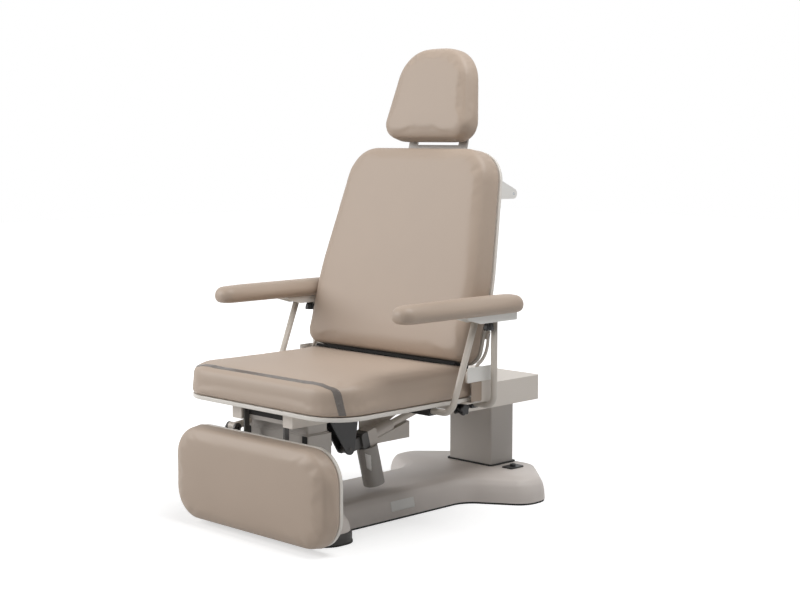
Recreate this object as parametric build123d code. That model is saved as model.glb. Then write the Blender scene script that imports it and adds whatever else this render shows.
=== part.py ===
from build123d import *
import os
from math import atan2, copysign, cos, hypot, radians, sin, tan

# Procedure chair: two telescopic lift columns on a moulded base carry a seat frame with a
# reclining back, a lifting leg section, a sliding headrest and plug-in armrests.
# The frame: millimetres, +Z up, the chair faces -Y, the origin is on the floor under the
# axis of the rear lift column.

# Clearances and shared stock
RUN = 0.05            # radial gap of a pin in its bore
GAP = 0.3             # gap of a soft part or a seated part on another body
SIDE_GAP = 1.0        # side gap between plates that turn past each other
OVERRUN = 5.0         # how far a cutting tool passes the face it cuts
SHEET = 3.0           # folded sheet steel
BAR = 6.0             # flat bar of levers and arms
PIN_R = 5.0
ROUND_STEPS = 6       # chords of a moulded corner
SCREW_R = 4.0
SCREW_H = 3.0

# Seat
SEAT_HALF = 343.0
SEAT_FRONT = -960.0
SEAT_REAR = -394.0
SEAT_UNDER = 379.0
SEAT_T = 86.0
SEAT_FRONT_R = 125.0
SEAT_REAR_R = 40.0
SEAT_EDGE = 24.0
PLATE_T = 12.0
PLATE_IN = 5.0
# Share of the thickness, and how far the side is drawn in as a share of the edge radius
CUSHION_SHARES = ((0.0, 0.30), (0.10, 0.06), (0.35, 0.0), (0.62, 0.06), (0.80, 0.30),
                  (0.91, 0.72), (0.97, 1.45), (1.0, 3.2))

# Paper strap across the front of the seat
STRAP_W = 17.0
STRAP_T = 1.2
STRAP_BACK = 42.0

# Frame rails, cross beams and rear housing
RAIL_X = 110.0
RAIL_W = 40.0
RAIL_H = 42.0
RAIL_FRONT = -923.0
HOUSE_HALF = 200.0
HOUSE_FRONT = -300.0
HOUSE_UNDER = 300.0
HOUSE_TOP = 377.0
HOUSE_R = 14.0
BEAM_AHEAD = 44.5     # centre of the front beam ahead of the front column's
BEAM_D = 60.0
COL_HEAD_T = 10.0

# Rear and front lift columns
COL_WALL = 4.0
COL_CLEAR = 0.4
REAR_COL_W = 181.0
REAR_COL_D = 108.0
FRONT_COL_W = 264.0
FRONT_COL_D = 93.0
FRONT_COL_Y = -823.5
COL_CORNER = 6.0
COL_FOOT = 14.0
COL_OUTER_TOP = 296.0
STAGE_STEP = 3.0
TRIM_T = 1.0
TRIM_W = 15.0
COLLAR_W = 8.0
COLLAR_H = 4.0
SPINDLE_R = 12.0
LIFT_MOTOR_R = 30.0
LIFT_MOTOR_H = 90.0

# Base
BASE_H = 82.0
PAD_H = 6.0
PAD_IN = 1.5
SPINE_HALF = 137.0
FOOT_HALF = 238.0
FOOT_FRONT = -905.0
FOOT_REAR = -768.0
FOOT_R = 72.0
WING_HALF = 302.0
WING_JOIN_Y = -232.0
WING_FRONT_Y = -125.0
WING_REAR_Y = -36.0
BASE_REAR_HALF = 150.0
BASE_REAR = 108.0
WING_R = 72.0
JOIN_R = 85.0
TAIL_R = 70.0
FOOT_JOIN_R = 40.0
SHOULDER = 48.0
# Share of the cover's height, and the draw-in of the side as a share of the shoulder
BASE_SHARES = ((0.0, 0.0), (0.22, 0.05), (0.52, 0.19), (0.78, 0.42), (0.93, 0.70), (1.0, 1.0))
COVER_WALL_IN = 24.0
COVER_TOP_WALL = 18.0
CHASSIS_IN = 30.0
CHASSIS_T = 8.0
SPINE_TUBE_W = 120.0
SPINE_TUBE_H = 38.0
INLET_GAP = 31.0
INLET_Y = -17.0
INLET_W = 42.0
INLET_D = 62.0
INLET_H = 4.0
INLET_SOCKET_R = 9.0
INLET_SOCKET_H = 7.0

# Back: it leans BACK_LEAN from upright at rest, and turns about a pivot beside the seat
BACK_LEAN = 15.3
BACK_FACE_Y = -466.0
BACK_FACE_Z = 500.0
BACK_LOW = -16.0
BACK_HIGH = 623.0
BACK_HALF_LOW = SEAT_HALF
BACK_HALF_HIGH = 284.0
BACK_R_LOW = 45.0
BACK_R_HIGH = 112.0
BACK_T = 76.0
BACK_PLATE_T = 10.0
BACK_EDGE = 28.0
BACK_SWING = 74.0
BACK_PIVOT_Y = -418.0
BACK_PIVOT_Z = 392.0
STRIP_T = 8.0
STRIP_SKIRT = 18.0    # the strip's rear edge hangs this far, to close the gap to the seat
STRIP_HALF = 318.0
STRIP_NEAR = 24.0

# Hinge plates and arms beside the seat
ARM_SIDE = 2.5        # side gap of the arms from the seat
HINGE_ARM_W = 9.0
HINGE_EYE_R = 13.0
HINGE_FRONT = -462.0
HINGE_REAR = -339.0
HINGE_TOP = 459.0
HINGE_HEAD_H = 34.0
HINGE_STEM_FRONT = -403.0
HINGE_STEM_REAR = -358.0
HINGE_KNEE_Y = -424.0
HINGE_KNEE_Z = 460.0
HINGE_ELBOW_Y = -371.0
HINGE_ELBOW_Z = 494.0
ARM_TAB = 40.0
ARM_TAB_AT = 80.0

# Back drive: a hanger under the seat holds its front end
DRIVE_X = 64.0
HANGER_Y = -662.0
HANGER_Z = 224.0
HANGER_TOP_FRONT = -768.0
HANGER_TOP_REAR = -622.0
HANGER_EYE_R = 17.0
BACK_ROD_Y = -318.0
BACK_ROD_Z = 312.0
LEVER_FACE_Y = -384.0
LEVER_EYE_R = 12.0
LEVER_REACH = 6.0
LEVER_FLANGE_L = 180.0
LEVER_END_R = 14.0
DRIVE_PIN_R = 4.0
SLOT_HALF = 8.6       # the rod pin drifts 4.4 across the slot at part recline
FORK = 30.0

# Leg drive, on the far side of the front column
LEG_DRIVE_X = -172.0
LEG_DRIVE_Y = -476.0
LEG_DRIVE_Z = 335.0
LEG_EYE_Y = -886.0
LEG_EYE_Z = 288.0

# Actuators
TUBE_R = 18.0
ROD_R = 11.0
MOTOR_R = 32.0
MOTOR_L = 146.0
MOTOR_AT = 82.0
GEAR_HALF = 21.0
GEAR_L = 62.0
CASE_FRONT = -552.0
CASE_REAR = -411.0
CASE_UNDER = 224.0
BACK_TUBE_L = 186.0
BACK_ROD_IN = 10.0
LEG_TUBE_L = 300.0
LEG_ROD_IN = 110.0
EYE_W = 26.0

# Leg section
LEG_PIVOT_Y = -908.0
LEG_PIVOT_Z = 358.0
LEG_FACE_Y = -989.0
LEG_T = 60.0
LEG_SIDE_IN = 12.0     # the leg section is narrower than the seat on each side
LEG_LOW = 12.0
LEG_HIGH = 293.0
LEG_R = 96.0
LEG_EDGE = 30.0
LEG_ARM_EYE_R = 8.5
LEG_ARM_LOW = 120.0

# Headrest
HEAD_LEAN = 12.6
HEAD_FACE_Y = -285.0
HEAD_FACE_Z = 1130.0
HEAD_LOW = -10.0
HEAD_HIGH = 276.0
HEAD_HALF_LOW = 182.0
HEAD_HALF_HIGH = 127.0
HEAD_R_LOW = 52.0
HEAD_R_HIGH = 114.0
HEAD_T = 64.0
HEAD_PLATE_T = 8.0
HEAD_PLATE_IN = 12.0
HEAD_EDGE = 26.0
POST_X = 105.0
POST_W = 34.0
POST_T = 6.0
POST_L = 210.0
POST_TOP = 690.0
GUIDE_AT = 540.0
GUIDE_H = 60.0
GUIDE_WALL = 3.0
KNOB_R = 17.0
KNOB_H = 20.0
KNOB_NECK_SHARE = 0.66
STUD_R = 5.0

# Paper roll holder behind the top of the back
ROLL_HALF = 275.0
ROLL_ALONG = 517.0
ROLL_LOW = 482.0
ROLL_HIGH = 543.0
ROLL_OUT = 78.0
ROLL_EYE_R = 15.0
ROLL_R = 7.0

# Armrests
ARMREST_OUT = 39.0     # centre of the armrest from the side of the seat
ARM_TUBE_R = 9.5
REAR_LEG_Y = -373.0
FRONT_LEG_TOP_Y = -450.0
FRONT_LEG_FOOT_Y = -553.0
FOOT_Z = 352.0
FOOT_DEPTH = 108.0     # the leg's foot ends this far in from the side of the seat
FOOT_BEND = 30.0
SOCKET_DEPTH = 118.0
SOCKET_L = 85.0
SOCKET_WALL = 4.0
CHANNEL_FRONT = -516.0
CHANNEL_REAR = -306.0
CHANNEL_LOW = 600.5
CHANNEL_TOP = 621.5
CHANNEL_HALF = 28.0
NOSE_L = 54.0
NOSE_H = 15.0
STUD_IN = 12.0
END_SHARE = 0.93
ARM_PAD_FRONT = -771.0
ARM_PAD_REAR = -270.0
ARM_PAD_HALF_FRONT = 40.0
ARM_PAD_HALF_REAR = 46.0
ARM_PAD_T = 50.0
ARM_PAD_EDGE = 20.0
ARM_PAD_SHARES = ((0.0, 0.55), (0.16, 0.16), (0.42, 0.0), (0.66, 0.12), (0.84, 0.45), (0.95, 0.90),
                  (1.0, 1.55))
PAD_KNOB_Y = -398.0
PAD_SLIDE = 34.0
PAD_KNOB_R = 15.6
PAD_KNOB_H = 17.0
CLAMP_KNOB_Y = -444.0
CLAMP_KNOB_Z = 345.0
CLAMP_KNOB_H = 24.0
CLAMP_KNOB_R = 17.0

# Places worked out from the sizes above
PLATE_UNDER = SEAT_UNDER - PLATE_T
RAIL_UNDER = PLATE_UNDER - RAIL_H
RAIL_IN = RAIL_X - RAIL_W / 2
RAIL_OUT = RAIL_X + RAIL_W / 2
RAIL_END = REAR_COL_D / 2 - SHEET - SIDE_GAP
ARM_IN = SEAT_HALF + ARM_SIDE
ARM_OUT = ARM_IN + BAR
HINGE_IN = ARM_OUT + SIDE_GAP
HINGE_OUT = HINGE_IN + BAR
BEAM_FRONT_Y = FRONT_COL_Y - BEAM_AHEAD
INLET_X = REAR_COL_W / 2 + COLLAR_W + INLET_GAP + INLET_W / 2
LEG_HALF = SEAT_HALF - LEG_SIDE_IN
LEG_ARM_X = RAIL_IN - SIDE_GAP - BAR
ARMREST_X = SEAT_HALF + ARMREST_OUT
FOOT_IN = SEAT_HALF - FOOT_DEPTH
SOCKET_IN = SEAT_HALF - SOCKET_DEPTH
SOCKET_OUT = SOCKET_IN + SOCKET_L

back_plane = Plane(origin=(0, BACK_FACE_Y, BACK_FACE_Z), x_dir=(1, 0, 0),
                   z_dir=(0, -cos(radians(BACK_LEAN)), sin(radians(BACK_LEAN))))
head_plane = Plane(origin=(0, HEAD_FACE_Y, HEAD_FACE_Z), x_dir=(1, 0, 0),
                   z_dir=(0, -cos(radians(HEAD_LEAN)), sin(radians(HEAD_LEAN))))
leg_plane = Plane(origin=(0, LEG_FACE_Y, 0), x_dir=(1, 0, 0), z_dir=(0, -1, 0))


def block(x0, x1, y0, y1, z0, z1):
    """Box between two corners."""
    return Pos((x0 + x1) / 2, (y0 + y1) / 2, (z0 + z1) / 2) * Box(x1 - x0, y1 - y0, z1 - z0)


def rod_x(radius, x0, x1, y, z):
    """Round bar along X."""
    return Pos((x0 + x1) / 2, y, z) * Rot(0, 90, 0) * Cylinder(radius, x1 - x0)


def rod_z(radius, z0, z1, x, y):
    """Round bar along Z."""
    return Pos(x, y, (z0 + z1) / 2) * Cylinder(radius, z1 - z0)


def both(shape):
    """A piece and its mirror image on the other side of the chair."""
    return shape + mirror(shape, Plane.YZ)


def side_plate(sketch, x0, x1):
    """Flat plate across the chair, drawn as (Y, Z)."""
    return extrude(Plane.YZ.offset(x0) * sketch, x1 - x0)


def link_shape(a, ra, b, rb):
    """Outline of a link with a round end at each of two points."""
    return make_hull((Pos(*a) * Circle(ra) + Pos(*b) * Circle(rb)).edges())


def outline(corners, inset=0.0):
    """Face with a round at each corner (x, y, radius), drawn in all round by the inset.

    A round is a run of chords. An outer one loses the inset from its radius, a hollow one
    gains it, and no round takes more than its share of the side next to it.
    """
    count = len(corners)
    at = [Vector(x, y) for x, y, radius in corners]
    runs = [(at[(k + 1) % count] - at[k]).normalized() for k in range(count)]
    moved = []
    for k in range(count):
        before, after = runs[k - 1], runs[k]
        out = Vector(before.Y + after.Y, -before.X - after.X)
        moved.append(at[k] - out * (inset / (1 + before.dot(after))))
    points = []
    for k, (x, y, radius) in enumerate(corners):
        before, after = runs[k - 1], runs[k]
        turn = atan2(before.cross(after).Z, before.dot(after))
        bend = copysign(1, turn)
        side = min((moved[k] - moved[k - 1]).length, (moved[(k + 1) % count] - moved[k]).length)
        reach = abs(tan(turn / 2))
        r = min(max(radius - bend * inset, radius / 4), END_SHARE * side / 2 / reach)
        normal = Vector(before.Y, -before.X)
        centre = moved[k] - before * (r * reach) - normal * (r * bend)
        first = atan2(normal.Y, normal.X)
        for step in range(ROUND_STEPS + 1):
            angle = first + turn * step / ROUND_STEPS
            points.append(centre + Vector(cos(angle), sin(angle)) * (r * bend))
    return make_face(Polyline(*points, close=True))


def panel(half_low, half_high, low, high, r_low, r_high, inset=0.0):
    """Tapered outline with rounded corners, drawn in all round by the inset."""
    return outline([(-half_low, low, r_low), (half_low, low, r_low), (half_high, high, r_high),
                    (-half_high, high, r_high)], inset)


def cushion(plane, size, thick, edge, shares):
    """Padded panel: sections stacked along the plane's normal, drawn in at seam and crown."""
    sections = [plane.offset(thick * high) * panel(*size, inset=edge * draw)
                for high, draw in shares]
    return loft(sections, ruled=True)


def tube_box(width, depth, wall, z0, z1, y):
    """Rectangular column tube with rounded corners."""
    outer = RectangleRounded(width, depth, COL_CORNER)
    inner = RectangleRounded(width - 2 * wall, depth - 2 * wall, COL_CORNER - wall / 2)
    return Pos(0, y, z0) * extrude(outer - inner, z1 - z0)


def base_outline(inset=0.0):
    """Plan of the base: front cross foot, spine and rear wings."""
    half = [(FOOT_HALF, FOOT_FRONT, FOOT_R), (FOOT_HALF, FOOT_REAR, FOOT_R),
            (SPINE_HALF, FOOT_REAR, FOOT_JOIN_R), (SPINE_HALF, WING_JOIN_Y, JOIN_R),
            (WING_HALF, WING_FRONT_Y, WING_R), (WING_HALF, WING_REAR_Y, WING_R),
            (BASE_REAR_HALF, BASE_REAR, TAIL_R)]
    return outline(half + [(-x, y, r) for x, y, r in reversed(half)], inset)


def base_cover():
    """Moulded cover with a rounded shoulder, hollow under, cut for both columns."""
    height = BASE_H - PAD_H
    cover = loft([Pos(0, 0, PAD_H + height * high) * base_outline(SHOULDER * draw)
                  for high, draw in BASE_SHARES], ruled=True)
    cover -= Pos(0, 0, PAD_H) * extrude(base_outline(COVER_WALL_IN), height - COVER_TOP_WALL)
    for width, depth, y in ((REAR_COL_W, REAR_COL_D, 0), (FRONT_COL_W, FRONT_COL_D, FRONT_COL_Y)):
        cut = RectangleRounded(width + 2 * SIDE_GAP, depth + 2 * SIDE_GAP, COL_CORNER)
        cover -= Pos(0, y, 0) * extrude(cut, BASE_H + OVERRUN)
    return cover


def base_pad():
    """Anti-slip rubber pad under the whole base."""
    return extrude(base_outline(PAD_IN), PAD_H)


def base_chassis():
    """Steel floor plate with the box section that joins the two column feet."""
    plate = Pos(0, 0, PAD_H) * extrude(base_outline(CHASSIS_IN), CHASSIS_T)
    y0 = FRONT_COL_Y + FRONT_COL_D / 2 + SIDE_GAP
    y1 = -REAR_COL_D / 2 - SIDE_GAP
    half = SPINE_TUBE_W / 2
    z0 = PAD_H + CHASSIS_T
    spine = block(-half, half, y0, y1, z0, z0 + SPINE_TUBE_H)
    inner = half - COL_WALL
    spine -= block(-inner, inner, y0 - OVERRUN, y1 + OVERRUN, z0 + COL_WALL,
                   z0 + SPINE_TUBE_H - COL_WALL)
    return plate + spine


def column(width, depth, y, stage, top):
    """One stage of a telescopic column; stage 0 is the outermost."""
    step = 2 * stage * (COL_WALL + COL_CLEAR)
    return tube_box(width - step, depth - step, COL_WALL, COL_FOOT + stage * STAGE_STEP, top, y)


def column_collar():
    """Dark gasket round the foot of the rear column, on the cover."""
    outer = RectangleRounded(REAR_COL_W + 2 * COLLAR_W, REAR_COL_D + 2 * COLLAR_W,
                             COL_CORNER + COLLAR_W)
    inner = RectangleRounded(REAR_COL_W + 2 * GAP, REAR_COL_D + 2 * GAP, COL_CORNER)
    return Pos(0, 0, BASE_H) * extrude(outer - inner, COLLAR_H)


def front_column_frame():
    """Dark edge trim on the front face of the front column."""
    y1 = FRONT_COL_Y - FRONT_COL_D / 2
    half = FRONT_COL_W / 2
    outer = block(-half, half, y1 - TRIM_T, y1, BASE_H + OVERRUN, COL_OUTER_TOP)
    inner = block(-half + TRIM_W, half - TRIM_W, y1 - OVERRUN, y1 + OVERRUN, 0,
                  COL_OUTER_TOP - TRIM_W)
    return outer - inner


def lift_motors():
    """Gear motor standing on the chassis inside each column."""
    z0 = PAD_H + CHASSIS_T
    return sum_of([rod_z(LIFT_MOTOR_R, z0, z0 + LIFT_MOTOR_H, 0, y) for y in (0, FRONT_COL_Y)])


def lift_spindles():
    """Lifting screw on each gear motor."""
    z0 = PAD_H + CHASSIS_T + LIFT_MOTOR_H
    return sum_of([rod_z(SPINDLE_R, z0, COL_OUTER_TOP, 0, y) for y in (0, FRONT_COL_Y)])


def sum_of(shapes):
    """One node made of several separate solids."""
    total = shapes[0]
    for shape in shapes[1:]:
        total += shape
    return total


def inlet_panel():
    """Dark connection plate with a raised round socket on the rear wing."""
    plate = Pos(INLET_X, INLET_Y, BASE_H) * extrude(RectangleRounded(INLET_W, INLET_D, COL_CORNER),
                                                    INLET_H)
    socket = rod_z(INLET_SOCKET_R, BASE_H, BASE_H + INLET_H + INLET_SOCKET_H, INLET_X, INLET_Y)
    hole = rod_z(INLET_SOCKET_R / 2, BASE_H + INLET_H, BASE_H + INLET_H + INLET_SOCKET_H + OVERRUN,
                 INLET_X, INLET_Y)
    return plate + socket - hole


def seat_rails():
    """Pair of closed box-section rails."""
    rail = block(RAIL_IN, RAIL_OUT, RAIL_FRONT, RAIL_END, RAIL_UNDER, PLATE_UNDER)
    rail -= block(RAIL_IN + SHEET, RAIL_OUT - SHEET, RAIL_FRONT + SHEET, RAIL_END + OVERRUN,
                  RAIL_UNDER + SHEET, PLATE_UNDER - SHEET)
    rail -= rod_x(PIN_R + RUN, RAIL_IN - OVERRUN, RAIL_IN + SHEET + OVERRUN, LEG_PIVOT_Y, LEG_PIVOT_Z)
    return both(rail)


def cross_beams():
    """Beam over the front column and head plate over the rear column."""
    front = block(-RAIL_IN, RAIL_IN, BEAM_FRONT_Y - BEAM_D / 2, BEAM_FRONT_Y + BEAM_D / 2,
                  RAIL_UNDER, PLATE_UNDER)
    front -= block(-RAIL_IN - OVERRUN, RAIL_IN + OVERRUN, BEAM_FRONT_Y - BEAM_D / 2 + SHEET,
                   BEAM_FRONT_Y + BEAM_D / 2 - SHEET, RAIL_UNDER + SHEET, PLATE_UNDER - SHEET)
    rear = block(-RAIL_OUT, RAIL_OUT, -RAIL_END, RAIL_END, RAIL_UNDER - COL_HEAD_T, RAIL_UNDER)
    return front + rear


def seat_size(inset=0.0):
    """Plan of the seat; the wide-radius corners are at the front."""
    return (SEAT_HALF - inset, SEAT_HALF - inset, SEAT_FRONT + inset, SEAT_REAR - inset,
            SEAT_FRONT_R - inset, SEAT_REAR_R - inset)


def seat_plate():
    """Painted plate under the seat cushion."""
    return Pos(0, 0, PLATE_UNDER) * extrude(panel(*seat_size(PLATE_IN)), PLATE_T)


def seat_cushion():
    """Seat cushion on its plate."""
    return cushion(Plane.XY.offset(SEAT_UNDER), seat_size(), SEAT_T, SEAT_EDGE, CUSHION_SHARES)


def frame_housing():
    """Folded cover over the rear column head; the rails enter its front."""
    shell = block(-HOUSE_HALF, HOUSE_HALF, HOUSE_FRONT, REAR_COL_D / 2, HOUSE_UNDER, HOUSE_TOP)
    shell = fillet(shell.edges().filter_by(Axis.Z), HOUSE_R)
    inner = block(-HOUSE_HALF + SHEET, HOUSE_HALF - SHEET, HOUSE_FRONT + SHEET,
                  REAR_COL_D / 2 - SHEET, HOUSE_UNDER + SHEET, HOUSE_TOP - SHEET)
    shell -= fillet(inner.edges().filter_by(Axis.Z), HOUSE_R - SHEET)
    shell -= Pos(0, 0, HOUSE_UNDER - OVERRUN) * extrude(
        RectangleRounded(REAR_COL_W + 2 * SIDE_GAP, REAR_COL_D + 2 * SIDE_GAP, COL_CORNER),
        SHEET + 2 * OVERRUN)
    for side in (-1, 1):
        x0, x1 = sorted((side * RAIL_IN, side * RAIL_OUT))
        shell -= block(x0, x1, HOUSE_FRONT - OVERRUN, HOUSE_FRONT + SHEET + OVERRUN, RAIL_UNDER,
                       PLATE_UNDER)
    return shell


def hinge_plates():
    """Upright plate on each side that carries the back's pivot: foot, stem, pivot tab and head."""
    stem = block(HINGE_IN, HINGE_OUT, HINGE_STEM_FRONT, HINGE_STEM_REAR, PLATE_UNDER - SHEET,
                 HINGE_TOP - HINGE_HEAD_H)
    head = block(HINGE_IN, HINGE_OUT, HINGE_FRONT, HINGE_REAR, HINGE_TOP - HINGE_HEAD_H, HINGE_TOP)
    head = fillet(head.edges().filter_by(Axis.X), 2 * SHEET)
    tab = link_shape((BACK_PIVOT_Y, BACK_PIVOT_Z), HINGE_EYE_R, (HINGE_STEM_FRONT, BACK_PIVOT_Z),
                     HINGE_EYE_R)
    foot = block(SOCKET_OUT + SIDE_GAP, HINGE_OUT, HINGE_FRONT, HINGE_STEM_REAR,
                 PLATE_UNDER - SHEET, PLATE_UNDER)
    plate = stem + head + side_plate(tab, HINGE_IN, HINGE_OUT) + foot
    return both(plate - rod_x(PIN_R + RUN, HINGE_IN - OVERRUN, HINGE_OUT + OVERRUN, BACK_PIVOT_Y,
                              BACK_PIVOT_Z))


def pivot_pins():
    """Pins fixed to the seat frame: back pivot, leg pivot and the two drive pivots."""
    back = rod_x(PIN_R, ARM_IN - SIDE_GAP, HINGE_OUT + SIDE_GAP, BACK_PIVOT_Y, BACK_PIVOT_Z)
    leg = rod_x(PIN_R, LEG_ARM_X - SIDE_GAP, RAIL_IN + SHEET + SIDE_GAP, LEG_PIVOT_Y, LEG_PIVOT_Z)
    reach = FORK / 2 + BAR + SIDE_GAP
    pins = [both(back), both(leg)]
    for x, y, z in ((DRIVE_X, HANGER_Y, HANGER_Z), (LEG_DRIVE_X, LEG_DRIVE_Y, LEG_DRIVE_Z)):
        pins.append(rod_x(PIN_R, x - reach, x + reach, y, z))
    return sum_of(pins)


def pin_bore(y, z):
    """Cutting tool for every pin bore on one pivot axis."""
    return rod_x(PIN_R + RUN, -SEAT_HALF - SHOULDER, SEAT_HALF + SHOULDER, y, z)


def fork(outline, x):
    """Pair of plates on both sides of an eye at x."""
    near = side_plate(outline, x - FORK / 2 - BAR, x - FORK / 2)
    far = side_plate(outline, x + FORK / 2, x + FORK / 2 + BAR)
    return near + far


def hanger_bracket():
    """Dark triangular hanger under the seat that holds the front end of the back drive."""
    top_mid = (HANGER_TOP_FRONT + HANGER_TOP_REAR) / 2
    top = Pos(top_mid, PLATE_UNDER - SHEET / 2) * Rectangle(HANGER_TOP_REAR - HANGER_TOP_FRONT, SHEET)
    eye = Pos(HANGER_Y, HANGER_Z) * Circle(HANGER_EYE_R)
    plates = fork(make_hull((top + eye).edges()), DRIVE_X)
    half = FORK / 2 + BAR
    flange = block(DRIVE_X - half, DRIVE_X + half, HANGER_TOP_FRONT, HANGER_TOP_REAR,
                   PLATE_UNDER - SHEET, PLATE_UNDER)
    return plates + flange - pin_bore(HANGER_Y, HANGER_Z)


def leg_drive_bracket():
    """Fork under the seat plate for the rear end of the leg drive."""
    top = Pos(LEG_DRIVE_Y, PLATE_UNDER - SHEET / 2) * Rectangle(2 * EYE_W, SHEET)
    eye = Pos(LEG_DRIVE_Y, LEG_DRIVE_Z) * Circle(LEVER_EYE_R)
    plates = fork(make_hull((top + eye).edges()), LEG_DRIVE_X)
    half = FORK / 2 + BAR
    flange = block(LEG_DRIVE_X - half, LEG_DRIVE_X + half, LEG_DRIVE_Y - EYE_W, LEG_DRIVE_Y + EYE_W,
                   PLATE_UNDER - SHEET, PLATE_UNDER)
    return plates + flange - pin_bore(LEG_DRIVE_Y, LEG_DRIVE_Z)


def arm_sockets():
    """Two socket tubes each side, joined by a strap under the seat plate."""
    outer = ARM_TUBE_R + GAP + SOCKET_WALL
    strap = block(SOCKET_IN, SOCKET_OUT, FRONT_LEG_FOOT_Y - outer, REAR_LEG_Y + outer,
                  PLATE_UNDER - 2 * SHEET, PLATE_UNDER)
    boss_y, boss_z = CLAMP_KNOB_Y, CLAMP_KNOB_Z
    web = block(SOCKET_OUT - 2 * SHEET, SOCKET_OUT, boss_y - outer, boss_y + outer, boss_z, PLATE_UNDER)
    socket = strap + web + block(SOCKET_OUT - 2 * SHEET, SOCKET_OUT, boss_y - outer, boss_y + outer,
                                 boss_z - outer, boss_z)
    socket -= rod_x(STUD_R + RUN, SOCKET_IN, SOCKET_OUT + OVERRUN, boss_y, boss_z)
    for y in (REAR_LEG_Y, FRONT_LEG_FOOT_Y):
        socket += block(SOCKET_IN, SOCKET_OUT, y - outer, y + outer, FOOT_Z - outer, PLATE_UNDER)
    for y in (REAR_LEG_Y, FRONT_LEG_FOOT_Y):
        socket -= rod_x(ARM_TUBE_R + RUN, SOCKET_IN - OVERRUN, SOCKET_OUT + OVERRUN, y, FOOT_Z)
    return both(socket)


def frame_screws():
    """Screw heads under the foot of each hinge plate."""
    heads = []
    for y in (HINGE_FRONT + 2 * SCREW_R, SEAT_REAR - 5 * SCREW_R):
        x = SEAT_HALF - SHOULDER / 2
        heads.append(both(rod_z(SCREW_R, PLATE_UNDER - SHEET - SCREW_H, PLATE_UNDER - SHEET, x, y)))
    return sum_of(heads)


def control_box():
    """Control unit on the floor of the rear housing."""
    half = RAIL_IN - SHOULDER / 2
    y0 = HOUSE_FRONT + SHOULDER
    return block(-half, half, y0, y0 + 2 * half, HOUSE_UNDER + SHEET, RAIL_UNDER + COL_HEAD_T)


def paper_strap():
    """Clear strap across the front of the seat, down to the plate on both sides."""
    def grown(by):
        return cushion(Plane.XY.offset(SEAT_UNDER), seat_size(-by), SEAT_T + by, SEAT_EDGE,
                       CUSHION_SHARES)
    y0 = SEAT_FRONT + STRAP_BACK - STRAP_W / 2
    slab = block(-SEAT_HALF - SHOULDER, SEAT_HALF + SHOULDER, y0, y0 + STRAP_W, SEAT_UNDER,
                 SEAT_UNDER + 2 * SEAT_T)
    return (grown(GAP + STRAP_T) - grown(GAP)) & slab


def back_size():
    """Outline of the back in its own plane."""
    return (BACK_HALF_LOW, BACK_HALF_HIGH, BACK_LOW, BACK_HIGH, BACK_R_LOW, BACK_R_HIGH)


def back_cushion():
    """Padded back, widest at the seat."""
    return cushion(back_plane.offset(-BACK_T), back_size(), BACK_T, BACK_EDGE, CUSHION_SHARES)


def back_plate():
    """Painted plate behind the back cushion."""
    return back_plane.offset(-BACK_T - BACK_PLATE_T) * extrude(panel(*back_size()),
                                                              BACK_PLATE_T)


def back_strip():
    """Dark cover strip under the bottom edge of the back cushion, with a hanging rear edge."""
    half = STRIP_HALF - BACK_R_LOW / 2
    rear = -BACK_T - BACK_PLATE_T
    strip = block(-half, half, BACK_LOW - STRIP_T, BACK_LOW, rear, -STRIP_NEAR)
    skirt = block(-half, half, BACK_LOW - STRIP_SKIRT, BACK_LOW, rear, rear + BAR)
    return back_plane * (strip + skirt)


def on_back(along, depth):
    """Y and Z of a point on the centre plane, along the back and behind its face."""
    point = back_plane.from_local_coords((0, along, -depth))
    return (point.Y, point.Z)


def back_arms():
    """Curved flat-bar hinge arm on each side, with a tab on the back plate."""
    rear = BACK_T + BACK_PLATE_T
    path = FilletPolyline((BACK_PIVOT_Y, BACK_PIVOT_Z), (HINGE_KNEE_Y, HINGE_KNEE_Z),
                          (HINGE_ELBOW_Y, HINGE_ELBOW_Z), on_back(ARM_TAB_AT, rear + BAR / 2),
                          radius=2 * HINGE_ARM_W)
    bar = trace(path, HINGE_ARM_W) + Pos(BACK_PIVOT_Y, BACK_PIVOT_Z) * Circle(HINGE_EYE_R)
    arm = side_plate(bar, ARM_IN, ARM_OUT)
    arm += back_plane * block(ARM_IN - ARM_TAB, ARM_OUT, ARM_TAB_AT - HINGE_EYE_R,
                              ARM_TAB_AT + HINGE_EYE_R, -rear - BAR, -rear)
    return both(arm - pin_bore(BACK_PIVOT_Y, BACK_PIVOT_Z))


def back_lever():
    """Forked lever behind the seat that the back drive pulls."""
    rear = BACK_T + BACK_PLATE_T
    up = on_back(LEVER_REACH, rear + LEVER_EYE_R)
    knee = on_back(0, rear + LEVER_EYE_R)
    drop = (LEVER_FACE_Y + LEVER_EYE_R, PLATE_UNDER)
    near, far = slot_ends()
    outline = link_shape(up, LEVER_EYE_R, knee, LEVER_EYE_R)
    outline += link_shape(knee, LEVER_EYE_R, drop, LEVER_EYE_R)
    outline += link_shape(drop, LEVER_EYE_R, near, LEVER_END_R)
    outline += link_shape(near, LEVER_END_R, far, LEVER_END_R)
    outline -= link_shape(near, SLOT_HALF, far, SLOT_HALF)
    half = FORK / 2 + BAR
    flange = back_plane * block(DRIVE_X - half, DRIVE_X + half, -LEVER_EYE_R / 2, LEVER_FLANGE_L,
                                -rear - SHEET, -rear)
    return fork(outline, DRIVE_X) + flange


def slot_ends():
    """Ends of the lever's slot, which points at the back pivot."""
    arm_y, arm_z = BACK_ROD_Y - BACK_PIVOT_Y, BACK_ROD_Z - BACK_PIVOT_Z
    short = cos(radians(BACK_SWING / 2))
    return (BACK_PIVOT_Y + arm_y * short, BACK_PIVOT_Z + arm_z * short), (BACK_ROD_Y, BACK_ROD_Z)


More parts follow.
